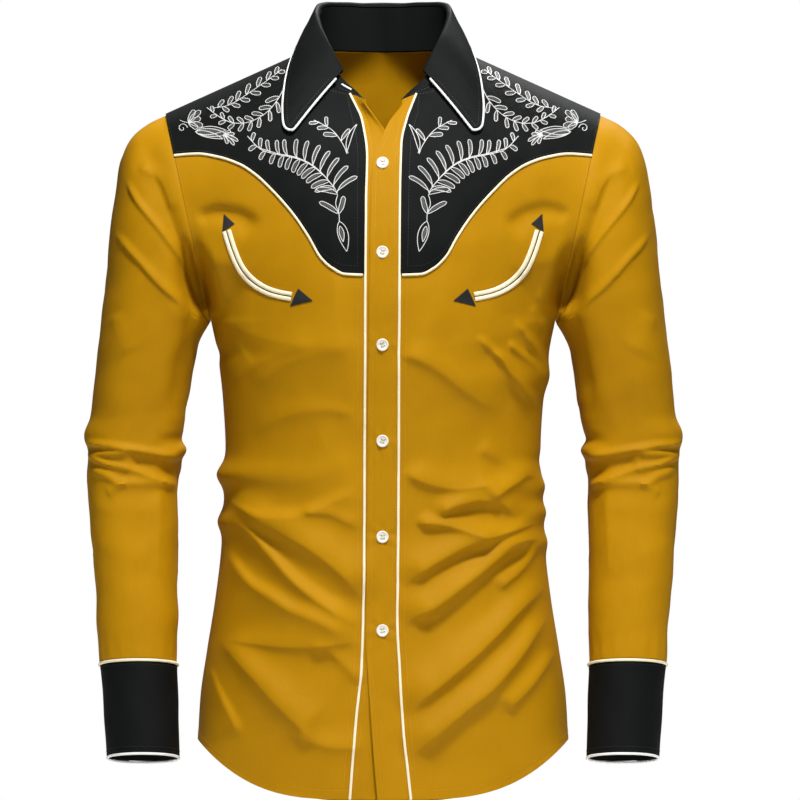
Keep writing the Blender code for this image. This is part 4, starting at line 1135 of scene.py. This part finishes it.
def build_cuff(side):
    name = SIDE_NAMES[side]
    columns, rows = 110, 34
    grid, out = cuff_grid(columns, rows)
    height, turn = np.linspace(0, 1, rows)[:, None], np.linspace(0, 1, columns)
    middle = np.sin(height * np.pi)
    soft = 0.5 * np.sin(turn * 19 + height * 5) * middle + 0.35 * np.sin(turn * 37 - height * 9)
    grid = grid + out * (soft * middle)[..., None]
    layers = mirrored(side, grid, grid - out * CLOTH * 1.5)
    cuff = add_wall(f"cloth_cuff_{name}", *layers, BLACK, f"cuff_{name}")
    sew(black_stitches, mirrored(side, grid, out), np.s_[2, 2:-14], np.s_[-3, 2:-14], np.s_[3:-3, 3])

    rings = section_grid(even_sections(CUFF_SECTIONS, 52), even_turns(120))
    ring_out = normals(rings, ring=True)
    down = unit(rings[-1].mean(axis=0) - rings[0].mean(axis=0))
    top = rings[0] + down * 1.6 + ring_out[0] * 0.7
    low = rings[-1] + down * (0.2 + PIPING_HALF_WIDTH * 0.8) - ring_out[-1] * CLOTH * 0.7
    for label, path, path_out, share, material in (
        ("top", top, ring_out[0], 1.0, CREAM), ("bottom", low, ring_out[-1], 0.9, WHITE),
    ):
        add_tube(
            f"cord_cuff_{label}_{name}", *mirrored(side, path, path_out), PIPING_HALF_WIDTH * share,
            PIPING_HALF_HEIGHT, material, f"piping_cuff_{label}_{name}", ring=True)


def build_sleeve_band(side):
    """The bound slit above the cuff, on the back of the sleeve, in the place of its CAD strip."""
    name = SIDE_NAMES[side]
    columns = 14
    low, high = box_mm(f"sleeve_band_{name}")
    sections = even_sections(SLEEVE_SECTIONS, SLEEVE_RINGS)
    first, last = (np.argsort(np.abs(sections[:, 1] - corner[2]))[0] for corner in (high, low))
    turns = np.linspace(*SLIT_TURNS, columns) * 2 * np.pi
    strip = section_grid(sections[first:last + 1], turns)[::-1]
    out = facing(strip, (0, BACK, 0))
    domed = 0.5 * np.cos(np.linspace(-1, 1, columns) * np.pi / 2)[None, :, None]
    outer = strip + out * (1.2 + domed)
    layers = mirrored(side, outer, strip + out * 0.2)
    band = add_wall(f"cloth_sleeve_band_{name}", *layers, MUSTARD, f"sleeve_band_{name}")
    sew(mustard_stitches, mirrored(side, outer, out), np.s_[2:-2, 2], np.s_[2:-2, -3])


# Collar


def neck_seam(stations):
    """Where the stand meets the body, on the wearer's left."""
    front = curves(NECK_LINE, np.clip(stations, 0, 1))
    front -= np.clip(stations / COLLAR_START, 0, 1)[:, None] * (BAND_TOP_WIDTH, BAND_TOP_DROP)
    share = np.clip(2 - stations, 0, 1)
    back = np.stack([NECK_X * share, BACK_NECK_Z + (NECK_Z - BACK_NECK_Z) * share**2], axis=1)
    x, z = np.where(stations[:, None] > 1, back, front).T
    return on_body(stations, x, z)


def on_body(stations, x, z):
    """Points on the smooth body, in front up to station 1 and behind after it."""
    front, back = (body_y(face, x, z, folded=False) for face in (FRONT, BACK))
    return np.stack([x, np.where(stations > 1, back, front), z], axis=-1)


def both_halves(half):
    """A grid over the wearer's left, from front to middle back, and its mirror image on the right."""
    return np.concatenate([half * (-1, 1, 1), half[:, -2::-1]], axis=1)


def leaf_lift(stations):
    """How the leaf's edge stands off the yoke: forwards in front, up at the shoulder, backwards behind."""
    turn = np.clip((stations - 0.75) / 0.5, 0, 1) * np.pi
    return LEAF_STANDOFF * np.stack([np.zeros_like(turn), -np.cos(turn), 0.4 + np.sin(turn)], axis=-1)


def round_corner(half, reach=6.0):
    """Rounds the leaf's front point: places near the corner are drawn in along both edges."""
    corner = half[-1, 0]
    away = np.linalg.norm(half - corner, axis=-1)
    inward = unit(half[-1, 8] + half[-10, 0] - 2 * corner)
    pull = 2.2 * np.clip(1 - away / reach, 0, 1) ** 2
    return half + inward * pull[..., None]


def rim_of(grid, inset=0):
    """The line that runs down a leaf's front edge, along its outer edge and up the other front edge."""
    down, along, up = grid[LEAF_RIM_ROW:-1, inset], grid[-1 - inset], grid[LEAF_RIM_ROW:-1, -1 - inset]
    return np.concatenate([down, along, up[::-1]])


def blurred(path, times):
    for _ in range(times):
        path = np.concatenate([path[:1], (path[:-2] + 2 * path[1:-1] + path[2:]) / 4, path[-1:]])
    return path


def build_stand(seam, fold):
    """The part of the collar that stands up from the neck seam to the fold."""
    away, rise = unit(fold * (1, 1, 0)), unit(fold - seam)
    foot = seam + rise * 0.8 - away * 0.5
    shares = np.linspace(0, 1, 14)[:, None, None]
    stand = both_halves(foot + (fold - foot) * shares + away * 0.5 * np.sin(np.pi * shares))
    out = outward(stand)
    piece = add_wall("cloth_collar_stand", stand, stand - out * COLLAR_CLOTH, BLACK, "collar_stand")
    sew(black_stitches, (stand, out), np.s_[3, 4:-4])
    return stand, out


def build_leaf(stations, seam, fold, away):
    """The part of the collar that rolls over at the fold and falls to its outer edge."""
    rise = unit(fold - seam)
    start = fold - away * COLLAR_CLOTH
    roll = [start + rise * high + away * reach for high, reach in LEAF_ROLL]
    leaf_edge = on_body(stations, *curves(LEAF_EDGE, stations).T) + leaf_lift(stations)
    pull = (roll[-1] + leaf_edge) / 2 + (away + (0, 0, 0.6)) * LEAF_BULGE
    fall = [
        roll[-1] * (1 - part) ** 2 + pull * 2 * part * (1 - part) + leaf_edge * part**2
        for part in (0.3, 0.62, 1)
    ]
    leaf = both_halves(round_corner(smooth_rows(np.stack(roll + fall), 44)))
    out = outward(leaf)
    out *= np.sign(out[-1, len(out[0]) // 2, 1])
    piece = add_wall("cloth_collar_leaf", leaf, leaf - out * COLLAR_CLOTH, BLACK, "collar_leaf")
    return leaf, out


def build_collar():
    stations = np.concatenate([np.linspace(COLLAR_START, 1, 110), np.linspace(1, 2, 64)[1:]])
    seam, fold = neck_seam(stations), curves(FOLD_LINE, stations)
    stand, stand_out = build_stand(seam, fold)
    away = stand_out[-1, ::-1][:len(stations)]
    covered = stations >= LEAF_START
    leaf, out = build_leaf(stations[covered], seam[covered], fold[covered], away[covered])

    line = resampled(np.concatenate([rim_of(leaf), rim_of(out), rim_of(leaf, 3)], axis=1), COLLAR_CORD_PITCH)
    rim, rim_out = line[:, :3], unit(line[:, 3:6])
    outwards = unit(np.cross(unit(np.gradient(rim, axis=0)), rim_out))
    outwards *= np.sign((outwards * (rim - line[:, 6:])).sum(axis=1))[:, None]
    path = blurred(rim + outwards * (CORD_RADIUS * 0.7) - rim_out * COLLAR_CLOTH / 2, 4)
    piping = Joined()
    piping.add(*tube(path, rim_out, CORD_RADIUS, CORD_RADIUS))
    dash, dash_out = stand[STAND_DASH], stand_out[STAND_DASH]
    piping.add(*tube(dash + dash_out * 0.7, dash_out, CORD_RADIUS * 0.75, CORD_RADIUS * 0.6))
    piping.build("cord_collar", WHITE, "piping_collar")
    sew(black_stitches, (rim - outwards * LEAF_STITCH_INSET, rim_out), np.s_[4:-4])


# Pockets, buttons and embroidery


def build_pocket(side):
    name = SIDE_NAMES[side]
    path = curves(SMILE, np.linspace(0, 1, 80))
    run = unit(np.gradient(path, axis=0))
    upward = np.stack([-run[:, 1], run[:, 0]], axis=-1)
    upward *= np.sign(upward[-1, 1])
    across = np.linspace(0, 1, 9)
    dome = np.sqrt(np.clip(1 - (2 * across - 1) ** 2, 0, 1))

    def beside(reach, lift=0.0):
        """Points and normals at distances from the pocket's line."""
        places = path[:, None] + upward[:, None] * np.reshape(reach, (1, -1, 1))
        return on_front(side, places[..., 0], places[..., 1], lift)

    for label, sign in (("upper", 1), ("lower", -1)):
        reach = sign * (WELT_PARTING / 2 + WELT_WIDTH * across)
        outer, inner = (beside(reach, lift)[0] for lift in (WELT_EDGE + WELT_HEIGHT * dome, 0.1))
        add_wall(f"cord_welt_{name}_{label}", outer, inner, CREAM, f"welt_{name}_{label}")
        stitched = beside(sign * (WELT_PARTING / 2 + WELT_WIDTH + WELT_STITCH_GAP))
        sew(mustard_stitches, stitched, np.s_[3:-3, 0])
        arrow = arrowhead(side, np.array(ARROWHEADS[label], float))
        arrow.build(f"thread_arrow_{name}_{label}", BLACK_THREAD, f"arrow_{name}_{label}")
    # A black cord along the parting between the welts is painted shadow: it darkens the slit, where the
    # mustard cloth under it lies in shade.
    points, out = beside(0.0, 0.35)
    add_tube(f"painted_shadow_pocket_mouth_{name}", points[:, 0], out[:, 0], 0.75, 0.4, BLACK, sides=6)


def arrowhead(side, corners, count=24):
    """Satin stitch across a triangle, from its point to its base."""
    group = Joined()
    point, *ends = corners
    shares = (np.arange(count)[:, None] + 0.6) / count
    start, end = (point + (corner - point) * shares for corner in ends)
    lines = start[:, None] + (end - start)[:, None] * np.linspace(0, 1, 9)[:, None]
    dome = np.sin(np.linspace(0.1, np.pi - 0.1, 9))
    for line, line_out in zip(*on_front(side, lines[..., 0], lines[..., 1], 0.3 + 0.5 * dome)):
        group.add(*tube(line, line_out, 0.5, 0.5, 6))
    return group


def button_template():
    """A four-hole button in its own frame, in metres: flat underneath, with a raised rim and a dish."""
    shape = bmesh.new()
    rings = []
    for share, height in BUTTON_PROFILE:
        turns = np.linspace(0, 2 * np.pi, BUTTON_SIDES if share else 1, endpoint=False)
        radius, z = share * BUTTON_RADIUS * MM, height * BUTTON_HEIGHT * MM
        rings.append([shape.verts.new((radius * np.cos(t), radius * np.sin(t), z)) for t in turns])
    for low, high in zip(rings[:-1], rings[1:]):
        for step in range(BUTTON_SIDES):
            places = (low, step), (low, step + 1), (high, step + 1), (high, step)
            corners = dict.fromkeys(ring[number % len(ring)] for ring, number in places)
            shape.faces.new(list(corners))
    bmesh.ops.recalc_face_normals(shape, faces=shape.faces)
    body = add_thing("button_template", mesh_from("button_template", shape))
    shape = bmesh.new()
    for x in (-HOLE_PLACE, HOLE_PLACE):
        for y in (-HOLE_PLACE, HOLE_PLACE):
            made = bmesh.ops.create_cone(
                shape, cap_ends=True, segments=16, radius1=HOLE_RADIUS * MM, radius2=HOLE_RADIUS * MM,
                depth=4 * BUTTON_HEIGHT * MM)
            bmesh.ops.translate(shape, verts=made["verts"], vec=(x * MM, y * MM, 0))
    cutter = add_thing("button_cutter", mesh_from("button_cutter", shape))
    cut = body.modifiers.new("holes", "BOOLEAN")
    cut.object, cut.operation, cut.solver = cutter, "DIFFERENCE", "EXACT"
    bpy.context.view_layer.update()
    done = bpy.data.meshes.new_from_object(body.evaluated_get(bpy.context.evaluated_depsgraph_get()))
    for helper in (body, cutter):
        bpy.data.objects.remove(helper, do_unlink=True)
    done.materials.clear()
    done.materials.append(BUTTON)
    done.shade_smooth()
    done.set_sharp_from_angle(angle=0.7)
    return done


def cuff_facing(side, centre):
    """Which way a cuff faces at the point nearest to its button."""
    grid, out = (layer[:, :-20] for layer in mirrored(side, *cuff_grid(150, 52)))
    away = np.linalg.norm(grid - centre, axis=-1)
    return out[np.unravel_index(np.argmin(away), away.shape)]


def button_thread(seat, right, up, out):
    """Two strands over each pair of holes. Their ends turn down into the holes."""
    threads = Joined()
    shares = np.linspace(-1, 1, 13)
    height = BUTTON_HEIGHT * (0.66 + 0.16 * np.cos(shares * np.pi / 2)) - 1.3 * (np.abs(shares) > 0.95)
    for row in (-HOLE_PLACE, HOLE_PLACE):
        for offset in (-0.28, 0.28):
            line = right * (shares * HOLE_PLACE)[:, None] + up * (row + offset) + out * height[:, None]
            threads.add(*tube(seat + line, np.broadcast_to(out, line.shape), 0.27, 0.27, 6))
    return threads


def build_buttons():
    template = button_template()
    names = [f"button_{number}" for number in FRONT_BUTTONS] + ["button_cuff_left", "button_cuff_right"]
    for order, name in enumerate(names):
        centre = centre_mm(name)
        raised = 0.0
        if "cuff" in name:
            out = cuff_facing(LEFT if name.endswith("left") else RIGHT, centre)
            raised = CUFF_BUTTON_RAISE
        else:
            _, out = on_front(LEFT, centre[0], centre[2])
        seat = centre + out * (raised - BUTTON_HEIGHT / 2)
        right = unit(np.cross(out, (0.0, 0.0, 1.0)))
        up = np.cross(right, out)
        tilt = 0.35 * np.sin(order * 2.4)
        right, up = right * np.cos(tilt) + up * np.sin(tilt), up * np.cos(tilt) - right * np.sin(tilt)
        mesh = template.copy()
        mesh.name = f"disc_{name}"
        place = np.eye(4)
        place[:3] = np.stack([right, np.cross(out, right), out, seat * MM], axis=1)
        mesh.transform(Matrix(place.tolist()))
        dressed(add_thing(f"disc_{name}", mesh), SLOTS[BUTTON], name)
        button_thread(seat, right, up, out).build(f"thread_{name}", SEW_THREAD)


def build_buttonholes():
    """The worked slots under the buttons of the front band, a little longer than the buttons."""
    group = Joined()
    turns = np.linspace(0, 2 * np.pi, 60, endpoint=False)
    for number in FRONT_BUTTONS:
        x, _, z = centre_mm(f"button_{number}")
        z = z + BUTTONHOLE_HALF_LENGTH * signed_power(np.sin(turns), 0.5)
        points, out = on_front(LEFT, x + BUTTONHOLE_HALF_WIDTH * np.cos(turns), z, 0.35)
        points[:, 1] += 0.5
        group.add(*tube(points, out, 0.5, 0.4, 6, ring=True))
    group.build("thread_buttonholes", MUSTARD_THREAD)


class Motifs:
    """Embroidery as lines of places (distance from the middle, height), and the fills inside them."""

    def __init__(self):
        self.outlines, self.fills = [], []

    def line(self, *places):
        self.outlines.append(smooth_rows(places, 30))

    def leaf(self, base, heading, length, width, bend=0.0, pointed=False, filled=True):
        """A looped leaf from its base: out along one side, round its tip and back along the other."""
        share = np.concatenate([np.linspace(0, 1, 14), np.linspace(1, 0, 14)[1:]])
        side = np.concatenate([np.ones(14), -np.ones(13)])
        if pointed:
            half = np.sin(np.pi * share**0.8) ** 0.9
        else:
            half = np.clip(share / 0.35, 0, 1) ** 0.7 * np.sqrt(1 - np.clip((share - 0.8) / 0.2, 0, 1) ** 2)
        turned = heading + bend * (share - 0.3)
        steps = length * np.diff(share, prepend=0)[:, None]
        middle = base + np.cumsum(np.stack([np.cos(turned), np.sin(turned)], axis=1) * steps, axis=0)
        across = np.stack([-np.sin(turned), np.cos(turned)], axis=1)
        self.outlines.append(middle + across * (half * side * width / 2)[:, None])
        if filled:
            self.fills.append((middle[2:13], np.maximum(half[2:13] * width / 2 - 0.35, 0.15)))

    def spray(self, spine, upper, lower, width, bend=-0.45):
        """A stem, from its tip to its base, with leaves on both sides.

        Each side gives a count, and at the tip, half way and base: the angle from the stem, and the length.
        """
        spine = smooth_rows(spine, 80)
        run = unit(np.gradient(spine, axis=0))
        self.outlines.append(spine)
        keys = (0, 0.5, 1)
        for side, first, (count, angles, lengths) in ((1, 0.3, upper), (-1, 0.7, lower)):
            for share in 0.05 + 0.92 * (np.arange(count) + first) / count:
                place = int(share * 79)
                heading = np.arctan2(-run[place, 1], -run[place, 0]) + side * np.interp(share, keys, angles)
                length = np.interp(share, keys, lengths)
                wide = width * (0.7 + 0.3 * length / max(lengths))
                self.leaf(spine[place], heading, length, wide, bend * side)


def yoke_motifs():
    """A fern frond along the yoke's lower edge, a bud under it, two branches above it, and small flowers."""
    made = Motifs()
    made.spray(
        ((135, -86), (122, -99), (104, -104.5), (89, -107.5), (74, -113.5), (60.5, -124), (48.5, -137.5),
         (45, -146)),
        (12, (0.8, 1.15, 1.15), (7, 21, 27)), (12, (1.2, 1.3, 0.9), (7, 15, 22)), 4.1, 0.7)
    made.line((122, -98.2), (104, -103.6), (89, -106.6), (74, -112.6), (61, -123), (49.2, -136.7))
    made.line((45.5, -146), (47, -154), (44, -163), (43.5, -171))
    made.leaf((44.5, -163), 0.62, 22, 4.0, -0.4)
    made.leaf((43.8, -163.5), 1.9, 18, 4.2, -0.3)
    made.leaf((43.5, -171), -1.85, 31, 10.5, 0.15, pointed=True, filled=False)
    made.leaf((42.8, -176), -1.8, 16, 4.6, 0.1, pointed=True)

    made.spray(
        ((176, -57.5), (163, -67), (151, -72.5), (138, -73), (127, -69.5), (115, -61.5), (105, -49.5),
         (98, -36)),
        (8, (0.7, 0.9, 0.75), (6, 9, 17)), (9, (0.9, 1.0, 0.9), (6, 10, 13)), 3.6)
    made.spray(
        ((101, -19), (109, -25.5), (121, -34), (134, -43), (147, -51.5), (157, -56), (170, -58)),
        (7, (0.6, 0.8, 0.9), (6, 11, 7)), (7, (0.6, 0.75, 0.9), (7, 12, 9)), 3.6)

    turns = np.linspace(0, 2.2 * np.pi, 30)
    spiral = np.stack([np.cos(turns + 2.4), np.sin(turns + 2.4)], axis=1) * (0.8 + 0.62 * turns)[:, None]
    made.outlines.append(spiral + (200.5, -78))
    for heading, length in ((2.75, 13), (2.3, 17), (1.95, 14), (3.3, 15), (3.65, 11)):
        made.leaf((194.5, -72.5), heading, length, 4.6, 0.35)
    made.line((194.5, -72.5), (198, -72), (203, -70))

    for heading, length, width in ((3.06, 31, 8.5), (3.2, 34, 8.0), (3.36, 29, 6.0)):
        made.leaf((187.5, -81.5), heading, length, width, 0.16, pointed=True)
    for heading, length in ((3.0, 11), (3.45, 16), (3.8, 15), (4.2, 10), (2.6, 8)):
        made.leaf((159, -84.5), heading, length, 2.8, 0.5)

    made.line((69, -70), (60, -74.5), (51, -80), (44, -88), (38.5, -97), (36, -104))
    made.leaf((36.5, -102.5), 1.75, 31, 5.0, 0.75, pointed=True, filled=False)
    made.leaf((42, -91), 2.1, 15, 3.4, 0.5)
    made.leaf((46, -85.5), 0.15, 14, 3.8, -0.25)
    made.leaf((55, -77.5), 0.0, 11, 3.2, -0.3)
    made.leaf((56, -76.5), 1.4, 10, 3.0, 0.4)
    made.leaf((64, -72), -0.15, 10, 2.8, 0.3)
    return made


def build_embroidery(side):
    """Chain stitch round each motif, and flat satin stitch inside the leaves."""
    made = yoke_motifs()
    lift = YOKE_LIFT + YOKE_CLOTH + 0.1
    twist = 0.18
    outlines, fills = Joined(), Joined()
    for line in made.outlines:
        line = resampled(line, 1.0)
        thick = CHAIN_RADIUS * (1 + twist * np.cos(np.arange(len(line)) * np.pi))
        outlines.add(*tube(*on_front(side, *line.T, lift), thick, thick * 0.8, 4))
    for line, width in made.fills:
        fills.add(*tube(*on_front(side, *line.T, lift), width, SATIN_HALF_HEIGHT, 4))
    outlines.build(f"thread_outlines_{SIDE_NAMES[side]}", EMBROIDERY)
    fills.build(f"thread_fills_{SIDE_NAMES[side]}", EMBROIDERY_FILL)


# Camera, light and floor


def aim(thing, place, target):
    thing.location = place
    way = Vector(target) - thing.location
    thing.rotation_euler = way.to_track_quat("-Z", "Y").to_euler()


def add_light(name, place, target, size, power):
    light = bpy.data.lights.new(name, "AREA")
    light.shape, light.size, light.energy = "DISK", size, power
    aim(add_thing(name, light), place, target)


def build_world():
    """White where the camera sees it, and a dim light from all round."""
    world = bpy.data.worlds.new("studio")
    bpy.context.scene.world = world
    world.use_nodes = True
    tree = world.node_tree
    tree.nodes.clear()
    seen, cast = (
        node(tree, "ShaderNodeBackground", (("Color", (1, 1, 1, 1)), ("Strength", strength)))[0]
        for strength in (1.0, AMBIENT)
    )
    is_seen = node(tree, "ShaderNodeLightPath")["Is Camera Ray"]
    mixed = node(tree, "ShaderNodeMixShader", ((0, is_seen), (1, cast), (2, seen)))[0]
    node(tree, "ShaderNodeOutputWorld", (("Surface", mixed),))


def build_stage():
    low, high = (np.array(corner) for corner in cad_box)
    middle_z = (low[2] + high[2]) / 2
    camera = bpy.data.cameras.new("camera")
    camera.sensor_width, camera.lens = SENSOR, LENS
    viewer = add_thing("camera", camera)
    view_x, view_z = VIEW_X, middle_z + VIEW_RAISE
    aim(viewer, (view_x, -VIEW_DISTANCE, view_z), (view_x, 0.0, view_z))
    bpy.context.scene.camera = viewer

    shape = bmesh.new()
    bmesh.ops.create_circle(shape, cap_ends=True, segments=96, radius=FLOOR_RADIUS)
    bmesh.ops.translate(shape, verts=shape.verts, vec=(0, 0, low[2] - FLOOR_DROP))
    ground = add_thing("floor", mesh_from("floor", shape))
    ground.data.materials.append(Look("floor", (0.85, 0.85, 0.84), 0.8, 0.2).material)

    target = (0.0, 0.0, middle_z)
    add_light("key", (0.28, -1.58, 2.02), target, 0.5, 108)
    add_light("fill", (0.6, -3.0, 0.1), target, 1.6, 12)
    add_light("top", (-0.4, -0.9, 2.0), (0, 0, -0.1), 1.2, 10)
    add_light("back", (0.4, 1.7, 1.9), target, 0.7, 74)
    build_world()
    bpy.context.scene.view_settings.view_transform = "Standard"
    bpy.context.scene.view_settings.look = "None"


for side in (LEFT, RIGHT):
    build_band(side, build_front(side))
    build_sleeve(side)
    build_cuff(side)
    build_sleeve_band(side)
    build_pocket(side)
    build_embroidery(side)
build_back()
build_collar()
build_buttons()
build_buttonholes()
mustard_stitches.build("thread_seams_mustard", MUSTARD_THREAD)
black_stitches.build("thread_seams_black", BLACK_THREAD)
build_stage()
